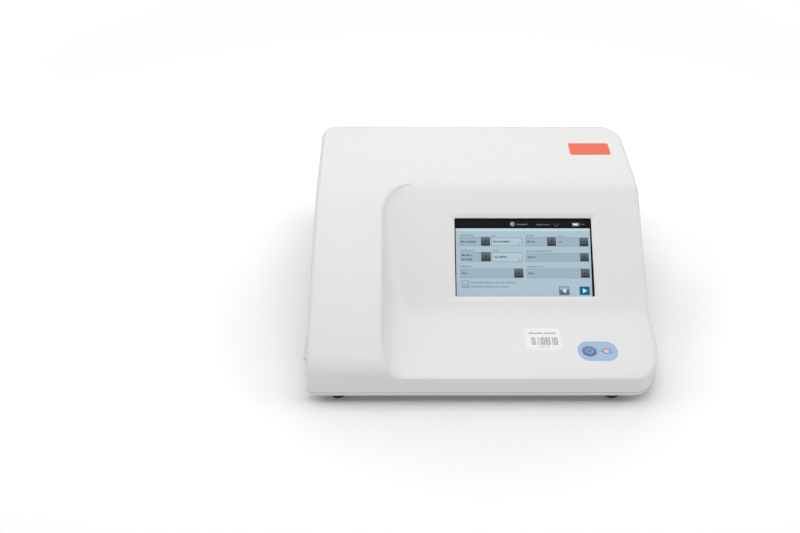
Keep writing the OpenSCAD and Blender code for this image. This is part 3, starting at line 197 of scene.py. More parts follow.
class Shape:
    """Collects points and faces of one piece, each face with its own material."""

    def __init__(self, at=None):
        self.at = at or plane(0, 0, 0)
        self.verts = []
        self.faces = []
        self.picks = []

    def add(self, points, faces, pick=0):
        """Faces over new points, given in millimetres in the shape's own frame."""
        start = len(self.verts)
        self.verts += [self.at @ (Vector(p) * MM) for p in points]
        self.faces += [[start + i for i in f] for f in faces]
        self.picks += [pick] * len(faces)

    def loft(self, rings, pick=0):
        """A closed form through rings of points."""
        n = len(rings[0])
        points = [p for ring in rings for p in ring]
        last = len(points) - n
        faces = [list(range(n))[::-1], list(range(last, len(points)))]
        for a in range(0, last, n):
            faces += [[a + i, a + (i + 1) % n, a + n + (i + 1) % n, a + n + i] for i in range(n)]
        self.add(points, faces, pick)

    def slab(self, outline, z0, z1, pick=0, bevel=0.0):
        """A plate between two heights, with an optional bevel on its upper edge."""
        rings = [(outline, z0), (outline, z1 - bevel)]
        if bevel:
            n = len(outline)
            centre = Vector((sum(p[0] for p in outline) / n, sum(p[1] for p in outline) / n))
            away = [Vector(p) - centre for p in outline]
            rings.append(([centre + a * (1 - bevel / max(a.length, bevel * 2)) for a in away], z1))
        self.loft([[(x, y, z) for x, y in ring] for ring, z in rings], pick)

    def box(self, x0, x1, y0, y1, z0, z1, pick=0, bevel=0.0, r=0.0):
        self.slab(rectangle(x0, x1, y0, y1, r), z0, z1, pick, bevel)

    def turned(self, x, y, z, profile, steps=32, pick=0):
        """A turned form about an upright axis, its profile given as radius and height."""
        self.loft([[(u, v, z + h) for u, v in ring_of(x, y, r, steps)] for r, h in profile], pick)

    def make(self, name, materials, slot, body="housing", smooth=None):
        """The finished piece, riding on a body."""
        mesh = bpy.data.meshes.new(name)
        mesh.from_pydata([tuple(v) for v in self.verts], [], self.faces)
        mesh.validate()
        made = piece(name, mesh, materials)
        for polygon, pick in zip(mesh.polygons, self.picks):
            polygon.material_index = pick
        return settle(made, body, smooth)


def rectangle(x0, x1, y0, y1, r=0.0, steps=4):
    """Outline of a rectangle with rounded corners, counter-clockwise."""
    if r <= 0:
        return [(x0, y0), (x1, y0), (x1, y1), (x0, y1)]
    points = []
    for cx, cy, a0 in ((x1 - r, y0 + r, -90), (x1 - r, y1 - r, 0), (x0 + r, y1 - r, 90), (x0 + r, y0 + r, 180)):
        for k in range(steps + 1):
            a = math.radians(a0 + 90 * k / steps)
            points.append((cx + r * math.cos(a), cy + r * math.sin(a)))
    return points


def ring_of(x, y, r, n=32):
    return [(x + r * math.cos(math.tau * k / n), y + r * math.sin(math.tau * k / n)) for k in range(n)]


def arc_band(x, y, r, width, a0, a1, steps=24):
    """A bent bar, such as the open ring of a power mark."""
    angles = [math.radians(a0 + (a1 - a0) * k / steps) for k in range(steps + 1)]
    outer = [(x + (r + width / 2) * math.cos(a), y + (r + width / 2) * math.sin(a)) for a in angles]
    inner = [(x + (r - width / 2) * math.cos(a), y + (r - width / 2) * math.sin(a)) for a in reversed(angles)]
    return outer + inner


def frame_bars(x0, x1, y0, y1, t):
    """Four bars that make an open rectangle."""
    return (
        rectangle(x0, x1, y0, y0 + t), rectangle(x0, x1, y1 - t, y1),
        rectangle(x0, x0 + t, y0 + t, y1 - t), rectangle(x1 - t, x1, y0 + t, y1 - t),
    )


def body_of(node):
    return next(b for b, members in frame["record"]["behaviour"]["bodies"].items() if node in members)


def slot_of(node):
    return next(s["material_slot"] for s in frame["record"]["subparts"] if s["node"] == node)


def refined(node, materials, bevel=0.0, smooth=32.0, pick=None):
    """A finer copy of a CAD node: edges rounded, faces smoothed and finishes given by place.

    pick gets a face's middle, in millimetres from the housing's middle, and its normal.
    """
    mesh = NODES[node].data.copy()
    made = piece(node + "_finish", mesh, materials)
    work = bmesh.new()
    work.from_mesh(mesh)
    bmesh.ops.remove_doubles(work, verts=work.verts, dist=0.001 * MM)
    bmesh.ops.dissolve_limit(
        work, angle_limit=math.radians(0.2), verts=work.verts, edges=work.edges, delimit={"NORMAL"}
    )
    if pick:
        work.normal_update()
        for face in work.faces:
            face.material_index = pick(face.calc_center_median() / MM - MIDDLE, face.normal)
    work.to_mesh(mesh)
    work.free()
    if bevel:
        bend = made.modifiers.new("edges", "BEVEL")
        bend.width = bevel
        bend.segments = 2
        bend.limit_method = "ANGLE"
        bend.angle_limit = math.radians(50)
        # an arc mitre closes openings in large flat faces
        bend.miter_outer = "MITER_SHARP"
    settle(made, body_of(node), smooth)
    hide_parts(node)
    return made


def squeezed(node):
    """A finer copy of a coil spring in bright steel, with a mesh of its own."""
    spring = refined(node, ["bright_steel"])
    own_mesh(spring)


def refine_rows(*rows):
    """Finer copies of nodes with one finish each: node, finish, edge and smoothing angle."""
    for node, finish, *numbers in rows:
        refined(node, [finish], *numbers)


def dress(finish, *nodes):
    """One finish for CAD nodes whose shape stays as it is."""
    for node in nodes:
        assign(NODES[node].data, [finish])


# ---- shader node groups ----


def group(name, inputs, outputs):
    """An empty shader node group with its sockets."""
    made = bpy.data.node_groups.new(name, "ShaderNodeTree")
    for label, kind, value in inputs:
        socket = made.interface.new_socket(name=label, in_out="INPUT", socket_type="NodeSocket" + kind)
        socket.default_value = value
    for label, kind in outputs:
        made.interface.new_socket(name=label, in_out="OUTPUT", socket_type="NodeSocket" + kind)
    return made, made.nodes.new("NodeGroupInput"), made.nodes.new("NodeGroupOutput")


def feed(tree, socket, value):
    """Joins a socket to another one or sets its plain value."""
    if isinstance(value, bpy.types.NodeSocket):
        tree.links.new(value, socket)
    else:
        socket.default_value = (*value, 1.0) if socket.type == "RGBA" and len(value) == 3 else value


def add_node(tree, kind, inputs=None, **settings):
    """A node with its settings, and its inputs by name or place."""
    node = tree.nodes.new("ShaderNode" + kind)
    for key, value in settings.items():
        setattr(node, key, value)
    for key, value in (inputs or {}).items():
        feed(tree, node.inputs[key], value)
    return node


def math_node(tree, operation, first, second):
    return add_node(tree, "Math", {0: first, 1: second}, operation=operation).outputs[0]


def blend_node(tree, kind, factor, first, second):
    return add_node(tree, "Mix", {0: factor, 6: first, 7: second}, data_type="RGBA", blend_type=kind).outputs[2]


def noise_node(tree, vector, scale, detail=1.5):
    return add_node(tree, "TexNoise", {"Vector": vector, "Scale": scale, "Detail": detail}).outputs["Fac"]


def coords_of(tree):
    return add_node(tree, "TexCoord").outputs["Object"]


def moulded_grain():
    """Fine moulded texture: colour with soft clouding, roughness and a height for a bump."""
    made, ins, outs = group(
        "moulded_grain",
        [("Colour", "Color", (0.8, 0.8, 0.8, 1)), ("Roughness", "Float", 0.4), ("Size", "Float", 0.001),
         ("Clouding", "Float", 0.02)],
        [("Colour", "Color"), ("Roughness", "Float"), ("Height", "Float")],
    )
    coords = coords_of(made)
    fine = noise_node(made, coords, math_node(made, "DIVIDE", 1.0, ins.outputs["Size"]))
    cloud = noise_node(made, coords, 9.0, 3.0)
    fade = math_node(made, "MULTIPLY", math_node(made, "SUBTRACT", cloud, 0.5), ins.outputs["Clouding"])
    tint = blend_node(made, "MULTIPLY", 1.0, ins.outputs["Colour"], math_node(made, "ADD", 1.0, fade))
    made.links.new(tint, outs.inputs["Colour"])
    shift = math_node(made, "MULTIPLY", cloud, 0.12)
    made.links.new(math_node(made, "ADD", ins.outputs["Roughness"], shift), outs.inputs["Roughness"])
    made.links.new(fine, outs.inputs["Height"])
    return made


def drawn_metal():
    """Streaks of rolled or turned metal, drawn out along one direction."""
    made, ins, outs = group(
        "drawn_metal",
        [("Colour", "Color", (0.7, 0.7, 0.7, 1)), ("Roughness", "Float", 0.3), ("Streaks", "Vector", (60, 900, 900))],
        [("Colour", "Color"), ("Roughness", "Float"), ("Height", "Float")],
    )
    coords = coords_of(made)
    stretch = add_node(made, "VectorMath", {0: coords, 1: ins.outputs["Streaks"]}, operation="MULTIPLY")
    streak = noise_node(made, stretch.outputs[0], 1.0, 3.0)
    stain = noise_node(made, coords, 22.0, 4.0)
    both = math_node(made, "ADD", math_node(made, "MULTIPLY", streak, 0.10), math_node(made, "MULTIPLY", stain, 0.12))
    tint = blend_node(made, "MULTIPLY", 1.0, ins.outputs["Colour"], math_node(made, "ADD", 0.89, both))
    made.links.new(tint, outs.inputs["Colour"])
    rough = math_node(made, "ADD", ins.outputs["Roughness"], math_node(made, "MULTIPLY", both, 0.6))
    made.links.new(math_node(made, "SUBTRACT", rough, 0.06), outs.inputs["Roughness"])
    made.links.new(streak, outs.inputs["Height"])
    return made


def brick_lines(tree, vector, width, height, line):
    """A mask that is 1 on a net of lines."""
    sizes = {"Scale": 1.0, "Brick Width": width, "Row Height": height, "Mortar Size": line, "Mortar Smooth": 0.1}
    return add_node(tree, "TexBrick", {"Vector": vector, **sizes}, offset=0.0, squash=1.0).outputs["Fac"]


def circuit_tracks():
    """Solder resist with the copper tracks showing through as paler lines."""
    made, ins, outs = group(
        "circuit_tracks", [("Resist", "Color", (0.02, 0.14, 0.06, 1)), ("Track", "Color", (0.06, 0.30, 0.13, 1))],
        [("Colour", "Color"), ("Height", "Float")],
    )
    coords = coords_of(made)
    along = brick_lines(made, coords, 0.031, 0.0021, 0.00028)
    across = brick_lines(made, coords, 0.0033, 0.027, 0.00028)
    where = noise_node(made, coords, 55.0, 1.0)
    rows = math_node(made, "MULTIPLY", along, math_node(made, "GREATER_THAN", where, 0.52))
    columns = math_node(made, "MULTIPLY", across, math_node(made, "LESS_THAN", where, 0.46))
    mask = math_node(made, "MAXIMUM", rows, columns)
    made.links.new(blend_node(made, "MIX", mask, ins.outputs["Resist"], ins.outputs["Track"]), outs.inputs["Colour"])
    made.links.new(mask, outs.inputs["Height"])
    return made


def chart_grid():
    """Fine and heavy lines of chart paper."""
    made, ins, outs = group(
        "chart_grid", [("Paper", "Color", (0.93, 0.91, 0.89, 1)), ("Line", "Color", (0.8, 0.38, 0.34, 1))],
        [("Colour", "Color")],
    )
    coords = coords_of(made)
    fine = math_node(made, "MULTIPLY", brick_lines(made, coords, 0.001, 0.001, 0.00008), 0.4)
    heavy = math_node(made, "MULTIPLY", brick_lines(made, coords, 0.005, 0.005, 0.0002), 0.85)
    mask = math_node(made, "MAXIMUM", fine, heavy)
    made.links.new(blend_node(made, "MIX", mask, ins.outputs["Paper"], ins.outputs["Line"]), outs.inputs["Colour"])
    return made


GROUP_MAKERS = {
    "moulded_grain": moulded_grain, "drawn_metal": drawn_metal, "circuit_tracks": circuit_tracks,
    "chart_grid": chart_grid,
}


# ---- materials ----


def principled(name, **values):
    """A material with its Principled shader; plain numbers go on its own sockets."""
    made = bpy.data.materials.new(name)
    made.use_nodes = True
    shader = made.node_tree.nodes["Principled BSDF"]
    for key, value in values.items():
        feed(made.node_tree, shader.inputs[key.replace("_", " ").title().replace("Ior", "IOR")], value)
    return made, shader


def effect(made, shader, name, bump=0.0, depth=0.00002, **inputs):
    """Places a node group in a material and joins it to the shader."""
    tree = made.node_tree
    node = add_node(tree, "Group", node_tree=bpy.data.node_groups.get(name) or GROUP_MAKERS[name]())
    for key, value in inputs.items():
        feed(tree, node.inputs[key.title()], value)
    feed(tree, shader.inputs["Base Color"], node.outputs["Colour"])
    if "Roughness" in node.outputs:
        feed(tree, shader.inputs["Roughness"], node.outputs["Roughness"])
    if bump:
        relief = add_node(tree, "Bump", {"Strength": bump, "Distance": depth, "Height": node.outputs["Height"]})
        feed(tree, shader.inputs["Normal"], relief.outputs["Normal"])
    return made


def moulded(name, base, roughness, grain=0.0007, clouding=0.04, bump=0.15, **values):
    """Plastic, rubber or paint with a fine texture."""
    made, shader = principled(name, **values)
    return effect(
        made, shader, "moulded_grain", bump, colour=base, roughness=roughness - 0.06, size=grain, clouding=clouding
    )


def metal(name, base, roughness, streaks=(60, 900, 900)):
    """Metal with rolled or turned streaks."""
    made, shader = principled(name, metallic=1.0)
    return effect(made, shader, "drawn_metal", 0.12, colour=base, roughness=roughness, streaks=streaks)


def lit(name, base, glow):
    """Part of the picture on the screen: a colour that also shines a little."""
    return principled(
        name, base_color=base, roughness=0.35, specular_ior_level=0.05, emission_color=base, emission_strength=glow
    )[0]


class Finishes:
    """Materials that several pieces share, made when first asked for."""

    made = {}
    plastics = {
        # colour, roughness, size of the grain, clouding, bump
        "dark_rubber": ((0.022, 0.022, 0.024), 0.75, 0.0005, 0.3, 0.4),
        "roller_rubber": ((0.045, 0.047, 0.052), 0.68, 0.0004, 0.25, 0.35),
        "black_plastic": ((0.025, 0.025, 0.028), 0.42, 0.0006, 0.2, 0.12),
        "cover_grey": ((0.16, 0.17, 0.19), 0.45, 0.0006, 0.1, 0.12),
        "gear_nylon": ((0.80, 0.79, 0.72), 0.38, 0.0008, 0.06, 0.06),
        "motor_black": ((0.045, 0.045, 0.05), 0.40, 0.0009, 0.25, 0.18),
        "chip_black": ((0.018, 0.018, 0.020), 0.50, 0.0004, 0.2, 0.1),
        "connector_cream": ((0.72, 0.68, 0.56), 0.45, 0.0006, 0.05, 0.05),
        "coil_yellow": ((0.70, 0.48, 0.08), 0.40, 0.0007, 0.15, 0.1),
        "wrap_blue": ((0.045, 0.10, 0.24), 0.30, 0.0009, 0.15, 0.12),
        "film_amber": ((0.52, 0.25, 0.045), 0.25, 0.0012, 0.2, 0.05),
        "ceramic": ((0.76, 0.73, 0.66), 0.22, 0.0009, 0.05, 0.03),
        "part_tan": ((0.42, 0.29, 0.17), 0.45, 0.0005, 0.1, 0.05),
        "board_ink": ((0.80, 0.80, 0.77), 0.50, 0.0005, 0.1, 0.05),
        "paper_plain": ((0.90, 0.88, 0.86), 0.70, 0.0004, 0.05, 0.1),
    }
    metals = {
        "steel": ((0.60, 0.61, 0.62), 0.34, (60, 900, 900)),
        "bright_steel": ((0.70, 0.71, 0.73), 0.22, (700, 90, 700)),
        "tin_plate": ((0.68, 0.69, 0.70), 0.28, (500, 500, 60)),
        "aluminium": ((0.74, 0.75, 0.77), 0.38, (900, 50, 900)),
        "brass": ((0.70, 0.50, 0.22), 0.26, (500, 90, 500)),
        "gold": ((0.90, 0.66, 0.28), 0.25, (300, 300, 300)),
    }

    @classmethod
    def get(cls, name):
        if name not in cls.made:
            if name in cls.plastics:
                base, *numbers = cls.plastics[name]
                cls.made[name] = moulded(name, base, *numbers)
            elif name in cls.metals:
                cls.made[name] = metal(name, *cls.metals[name])
            else:
                cls.made[name] = getattr(cls, name)()
        return cls.made[name]

    @staticmethod
    def housing_white():
        look = bpy.context.scene.ecg_housing
        return moulded(
            "housing_white", look.white, look.roughness, look.grain, 0.02, 0.12, specular_ior_level=0.3
        )

    @staticmethod
    def circuit_green():
        made, shader = principled("circuit_green", roughness=0.32)
        return effect(
            made, shader, "circuit_tracks", 0.3, 0.00003, resist=(0.012, 0.12, 0.045), track=(0.04, 0.24, 0.10)
        )

    @staticmethod
    def chart_paper():
        look = bpy.context.scene.ecg_paper
        made, shader = principled("chart_paper", roughness=0.6)
        return effect(made, shader, "chart_grid", paper=(0.92, 0.90, 0.88), line=look.line)


# ---- operators: one for each piece or group ----


class Maker(bpy.types.Operator):
    """Base of the operators."""

    bl_options = {"REGISTER", "UNDO"}


class ECG_OT_stage(Maker):
    """Camera, floor, lamps and background"""

    bl_idname = "ecg.stage"
    bl_label = "Stage"

    AIM = Vector((0.0, 0.0, 0.06))
    CAMERA_AT = (-0.0974, -0.9405, 0.7664)
    # turn, tilt and roll of the camera in degrees
    CAMERA_TURNS = ((-0.56, "Z"), (90 - 37.45, "X"), (0.35, "Z"))
    FLOOR = 6.0
    # light added to the floor: radius where it starts, where it is full, and how much
    LIFTS = ((0.212, 0.34, 0.14), (0.8, 2.0, 0.8))
    # name, place, width, depth and power in watts
    LAMPS = (
        ("overhead", (0.0, 0.0, 1.6), 1.6, 1.2, 12.8),
        ("behind", (0.0, 1.2, 1.3), 1.8, 1.0, 8.1),
        ("low_behind", (0.0, 1.7, 0.8), 1.8, 0.8, 1.9),
        ("front", (0.0, -1.5, 1.2), 1.8, 1.0, 2.1),
        ("left", (-1.5, 0.0, 1.1), 1.2, 1.2, 10.3),
        ("right", (1.5, 0.0, 1.1), 1.2, 1.2, 9.8),
        ("low_front", (0.0, -1.8, 0.26), 2.6, 0.5, 10.0),
    )

    def execute(self, context):
        look = context.scene.ecg_stage
        data = bpy.data.cameras.new("camera")
        data.lens = look.focal
        data.sensor_width = 36.0
        camera = bpy.data.objects.new("camera", data)
        context.collection.objects.link(camera)
        context.scene.camera = camera
        at = Matrix.Translation(self.CAMERA_AT)
        for angle, axis in self.CAMERA_TURNS:
            at = at @ Matrix.Rotation(math.radians(angle), 4, axis)
        camera.matrix_world = at

        mesh = bpy.data.meshes.new("floor")
        corners = rectangle(-self.FLOOR, self.FLOOR, -self.FLOOR, self.FLOOR)
        mesh.from_pydata([(x, y, 0) for x, y in corners], [], [(0, 1, 2, 3)])
        piece("floor", mesh, [self.floor_material()])

        for name, spot, width, depth, power in self.LAMPS:
            lamp = bpy.data.lights.new(name, "AREA")
            lamp.energy = power * look.lamp
            lamp.shape = "RECTANGLE"
            lamp.size = width
            lamp.size_y = depth
            hung = bpy.data.objects.new(name, lamp)
            hung.location = spot
            hung.rotation_euler = (self.AIM - Vector(spot)).to_track_quat("-Z", "Y").to_euler()
            context.collection.objects.link(hung)

        world = bpy.data.worlds.new("world")
        context.scene.world = world
        world.use_nodes = True
        tree = world.node_tree
        back = tree.nodes["Background"]
        back.inputs["Strength"].default_value = look.sky
        back.inputs["Color"].default_value = (1, 1, 1, 1)
        white = add_node(tree, "Background", {"Color": (1, 1, 1, 1)})
        path = add_node(tree, "LightPath")
        seen = math_node(tree, "MAXIMUM", path.outputs["Is Camera Ray"], path.outputs["Is Glossy Ray"])
        seen = math_node(tree, "MAXIMUM", seen, path.outputs["Is Transmission Ray"])
        mix = add_node(tree, "MixShader", {0: seen, 1: back.outputs[0], 2: white.outputs[0]})
        feed(tree, tree.nodes["World Output"].inputs["Surface"], mix.outputs[0])
        context.scene.view_settings.view_transform = "Standard"
        return {"FINISHED"}

    def far_white(self, tree):
        """Light added to the floor away from the object, where the lamps fade."""
        reach = add_node(tree, "VectorMath", {0: coords_of(tree)}, operation="LENGTH").outputs["Value"]
        steps = []
        for near, far, gain in self.LIFTS:
            sizes = {"Value": reach, "From Min": near, "From Max": far, "To Max": gain}
            steps.append(add_node(tree, "MapRange", sizes, interpolation_type="SMOOTHSTEP").outputs["Result"])
        return math_node(tree, "ADD", *steps)

    def floor_material(self):
        """Pale floor: seen by the camera it is lifted to white, with the shadow kept."""
        made = bpy.data.materials.new("pale_floor")
        made.use_nodes = True
        tree = made.node_tree
        tree.nodes.remove(tree.nodes["Principled BSDF"])
        matt = add_node(tree, "BsdfDiffuse", {"Color": (0.86, 0.86, 0.86)})
        seen = add_node(tree, "BsdfDiffuse", {"Color": (1, 1, 1)})
        lift = add_node(tree, "Emission", {"Strength": self.far_white(tree)})
        both = add_node(tree, "AddShader", {0: seen.outputs[0], 1: lift.outputs[0]})
        path = add_node(tree, "LightPath")
        mix = add_node(tree, "MixShader", {0: path.outputs["Is Camera Ray"], 1: matt.outputs[0], 2: both.outputs[0]})
        feed(tree, tree.nodes["Material Output"].inputs["Surface"], mix.outputs[0])
        return made


def seam_shadow_strip(material):
    """A thin dark strip round the lower edge of the top housing, open where the drawer is: a painted shadow in the
    seam's gap.
    """
    rim = sorted(
        {(round(p.x, 3), round(p.y, 3))
         for p in (v.co / MM - MIDDLE for v in NODES["top_housing"].data.vertices) if p.z < SEAM_Z + 0.05}
    )
    # the outer outline of the rim's points, in two halves
    loop = []
    for side in (rim, rim[::-1]):
        half = []
        for p in side:
            while len(half) > 1 and (
                (half[-1][0] - half[-2][0]) * (p[1] - half[-2][1])
                <= (half[-1][1] - half[-2][1]) * (p[0] - half[-2][0])
            ):
                half.pop()
            half.append(p)
        loop += half[:-1]
    # it starts after the longest step on the left, which is the drawer's opening
    n = len(loop)
    left = min(p[0] for p in loop)
    gap = next(
        k for k in range(n)
        if max(loop[k][0], loop[(k + 1) % n][0]) < left + 3 and abs(loop[k][1] - loop[(k + 1) % n][1]) > 150
    )
    run = [Vector(loop[(gap + 1 + k) % n]) for k in range(n)]
    section = ((-0.7, -0.1), (0.06, -0.1), (0.06, 0.6), (-0.7, 0.6))
    rings = []
    for k, p in enumerate(run):
        along = (run[min(k + 1, n - 1)] - run[max(k - 1, 0)]).normalized()
        rings.append([(p.x + along.y * reach, p.y - along.x * reach, SEAM_Z + z) for reach, z in section])
    ring = Shape()
    ring.loft(rings)
    ring.make("seam_shadow_strip", [material], "housing_white", smooth=30)


class ECG_OT_housing(Maker):
    """Top housing, base, feet, battery cover, the slopes round the screen and a painted shadow strip in the seam"""

    bl_idname = "ecg.housing"
    bl_label = "Housing"

    def execute(self, context):
        look = context.scene.ecg_housing
        for node in ("top_housing", "base_housing", "battery_cover"):
            refined(node, ["housing_white"], bevel=look.edge)
        refined("rubber_feet", ["dark_rubber"], bevel=0.4 * MM)
        # slopes from the face down to the window's upper and lower edges
        slopes = Shape(FACE)
        for s in (1, -1):
            ends = [(s * 46.55, -1.38), (s * 51.47, -0.02), (s * 51.47, -1.9), (s * 46.55, -1.9)]
            slopes.loft([[(x, y, z) for y, z in ends] for x in (-89.0, 89.0)])
        slopes.make("recess_slopes", ["housing_white"], "housing_white", smooth=30)
        # a dark grey strip in the seam paints the shadow of its gap
        seam_shadow_strip(moulded("seam_shadow_grey", look.seam, 0.6, 0.0005, 0.1, 0.1))
        return {"FINISHED"}


# places of the picture's colours in its list of materials; four shades of the buttons start at BUTTON
PAGE, FIELD, OPEN, BAR, ACCENT, BACK, INK, CAPTION, RIM, PALE, DIM, BRIGHT, BUTTON = range(13)


class ECG_OT_screen(Maker):
    """Glass, gasket, display, bracket and the picture on the screen"""

    bl_idname = "ecg.screen"
    bl_label = "Touch screen"

    def execute(self, context):
        look = context.scene.ecg_screen
        glass, _ = principled("touch_glass", base_color=(0.010, 0.011, 0.013), roughness=0.10, coat_weight=0.3)
        refined("touch_glass", [glass], bevel=SOFT)
        refined("screen_gasket", ["dark_rubber"])
        refined("screen_bracket", ["steel"], bevel=FINE)
        dress("tin_plate", "lcd_module")
        dress("film_amber", "screen_flex")
        dress("bright_steel", "screen_screws")
        page, field, button = (Vector(c) for c in (look.page, look.field, look.button))
        tones = [
            ("page", page), ("field", field), ("open", page * 1.05), ("bar", look.bar), ("accent", look.accent),
            ("back", page * 0.29), ("ink", field * 0.10), ("caption", page * 0.40), ("rim", field * 0.50),
            ("pale", page * 1.7), ("dim", page * 0.42), ("bright", page * 1.22),
            *[(f"button_{k}", button * (2.7 - 0.6 * k)) for k in range(4)],
        ]
        mats = [lit("screen_" + name, tone, look.glow) for name, tone in tones]
        self.shape = Shape(FACE @ Matrix.Translation((0, 0, GLASS_DEPTH * MM)))
        self.draw = random.Random(5)
        tile, words = self.tile, self.words
        tile(-80.5, 81.5, -48.5, 48.5, 0, BAR)
        for low, high, level, pick in ((-48.0, 34.6, 1, PAGE), (31.2, 34.6, 2, BRIGHT)):
            edge = [(-77.3, low), (76.7 + low * 0.013, low), (76.7 + high * 0.013, high), (-77.3, high)]
            self.shape.slab(edge, LAYER * (level + 1), LAYER * (level + 2), pick)
        # drop-down fields: left, right of the text part, right of the button, bottom, top
        for x0, x1, x2, y0, y1 in (
            (-72.6, -48.4, -37.9, 13.9, 23.9), (2.7, 27.3, 37.6, 13.6, 23.8), (39.0, 64.5, 74.6, 13.3, 23.3),
            (-72.2, -48.6, -37.6, -4.6, 6.0), (2.8, 64.4, 74.3, -4.6, 4.9),
            (-72.5, -11.6, -1.0, -23.9, -13.5), (2.9, 64.4, 74.4, -23.9, -13.7),
        ):
            tile(x0 - 0.3, x1, y0 - 0.3, y1 + 0.3, 2, RIM, 0.3)
            tile(x0, x1, y0, y1, 3, FIELD)
            self.drop_button(x1, x2, y0 - 0.2, y1 + 0.4)
        # plain fields
        for x0, x1, y0, y1 in ((-36.2, -1.7, 14.0, 23.5), (-35.9, -1.8, -5.0, 5.6)):
            tile(x0 - 0.4, x1 + 0.4, y0 - 0.4, y1 + 0.4, 2, RIM, 0.6)
            tile(x0, x1, y0, y1, 3, OPEN, 0.4)
            for k in range(2):
                tile(x1 - 4.2, x1 - 2.6, y0 + 1.2 + 1.6 * k, y0 + 1.8 + 1.6 * k, 4, CAPTION)
        # captions over the fields and entries in them
        for x0, x1, y in (
            (-72.3, -56.3, 26.3), (-36.0, -30.2, 25.9), (3.5, 12.3, 26.0), (39.8, 49.0, 25.7), (-71.9, -55.5, 8.4),
            (-36.1, -28.4, 8.0), (2.8, 32.2, 7.6), (-72.6, -58.6, -10.5), (2.9, 24.2, -10.9),
            (-61.6, -9.4, -29.6), (-61.7, -17.1, -34.4),
        ):
            words(x0, x1, y, 1.7, 3, CAPTION)
        for x0, x1, y in (
            (-71.3, -52.2, 18.7), (4.3, 13.9, 18.8), (41.4, 43.9, 18.4), (-34.3, -15.2, 18.9), (-70.5, -59.4, 2.8),
            (-70.6, -58.4, -2.1), (-33.6, -19.1, 0.6), (4.7, 13.2, 0.3), (-70.8, -64.8, -18.4), (4.6, 11.0, -18.8),
        ):
            words(x0, x1, y, 2.1, 4, INK)
        tile(-71.5, -63.2, -35.8, -27.0, 2, RIM, 0.8)
        tile(-71.0, -63.7, -35.3, -27.5, 3, FIELD, 0.6)
        tile(-70.6, -64.1, -31.0, -27.9, 4, PAGE, 0.5)
        # buttons that turn the page
        for x0, x1, tone, upper in ((39.1, 50.1, BACK, FIELD), (62.1, 73.2, ACCENT, ACCENT)):
            tile(x0 - 0.3, x1 + 0.3, -44.2, -34.2, 2, BUTTON + 2, 0.9)
            tile(x0, x1, -43.9, -34.5, 3, tone, 0.7)
            tile(x0 + 0.4, x1 - 0.4, -38.0, -34.8, 4, upper, 0.5)
        for x0, x1 in ((46.4, 42.2), (65.8, 70.4)):
            points = [(x0, -42.0), (x0, -36.4), (x1, -39.2)]
            self.shape.slab(points if x1 < x0 else points[::-1], 0.15, 0.22, PALE)
        # status bar
        self.shape.slab(ring_of(-11.8, 39.9, 2.9), 0.1, 0.14, DIM)
        self.shape.slab(ring_of(-11.8, 39.9, 2.2), 0.14, 0.18, BACK)
        self.shape.slab(arc_band(-11.8, 39.9, 1.2, 0.5, 40, 320), 0.18, 0.2, PALE)
        words(-6.5, 6.2, 39.5, 1.8, 2, DIM)
        words(15.4, 31.6, 39.3, 1.6, 2, DIM)
        self.shape.slab(arc_band(38.7, 39.6, 2.1, 0.4, 150, 390), 0.1, 0.14, RIM)
        tile(56.8, 65.4, 37.2, 41.6, 2, BACK, 0.6)
        tile(57.4, 64.8, 37.8, 41.0, 3, DIM, 0.3)
        tile(58.0, 63.4, 38.4, 40.4, 4, PALE)
        tile(65.4, 66.2, 38.6, 40.2, 2, BACK)
        tile(67.4, 71.2, 38.9, 39.9, 2, BACK)
        self.shape.make("screen_picture", mats, "touch_screen")
        return {"FINISHED"}

    def tile(self, x0, x1, y0, y1, level, pick, r=0.0):
        self.shape.box(x0, x1, y0, y1, LAYER * (level + 1), LAYER * (level + 2), pick, r=r)

    def drop_button(self, x0, x1, y0, y1):
        """A dark button, shaded in bands, with a small wedge mark."""
        step = (y1 - y0) / 4
        for k in range(4):
            self.tile(x0, x1, y1 - (k + 1) * step, y1 - k * step, 3, BUTTON + k)
        x, y = (x0 + x1) / 2, (y0 + y1) / 2 + 0.3
        self.shape.slab([(x - 1.9, y + 0.7), (x, y - 0.9), (x + 1.9, y + 0.7)], 0.15, 0.18, BUTTON + 3)

    def words(self, x0, x1, y, h, level, pick):
        """Unreadable marks the size of small print: stems and short bars in groups."""
        x = x0
        while x < x1 - 0.5:
            for _ in range(self.draw.randint(3, 8)):
                w = self.draw.uniform(0.95, 1.45)
                if x + w > x1:
                    break
                low = y - h / 2
                tall = h * self.draw.choice((0.72, 0.72, 1.0))
                self.tile(x, x + 0.58, low, low + tall, level, pick)
                bar = low + self.draw.choice((0.0, 0.36, 0.62)) * h * 0.9
                self.tile(x + 0.58, x + w, bar, bar + h * 0.32, level, pick)
                if self.draw.random() < 0.5:
                    self.tile(x + w - 0.45, x + w, low, low + h * 0.62, level, pick)
                x += w + 0.28
            x += 0.7


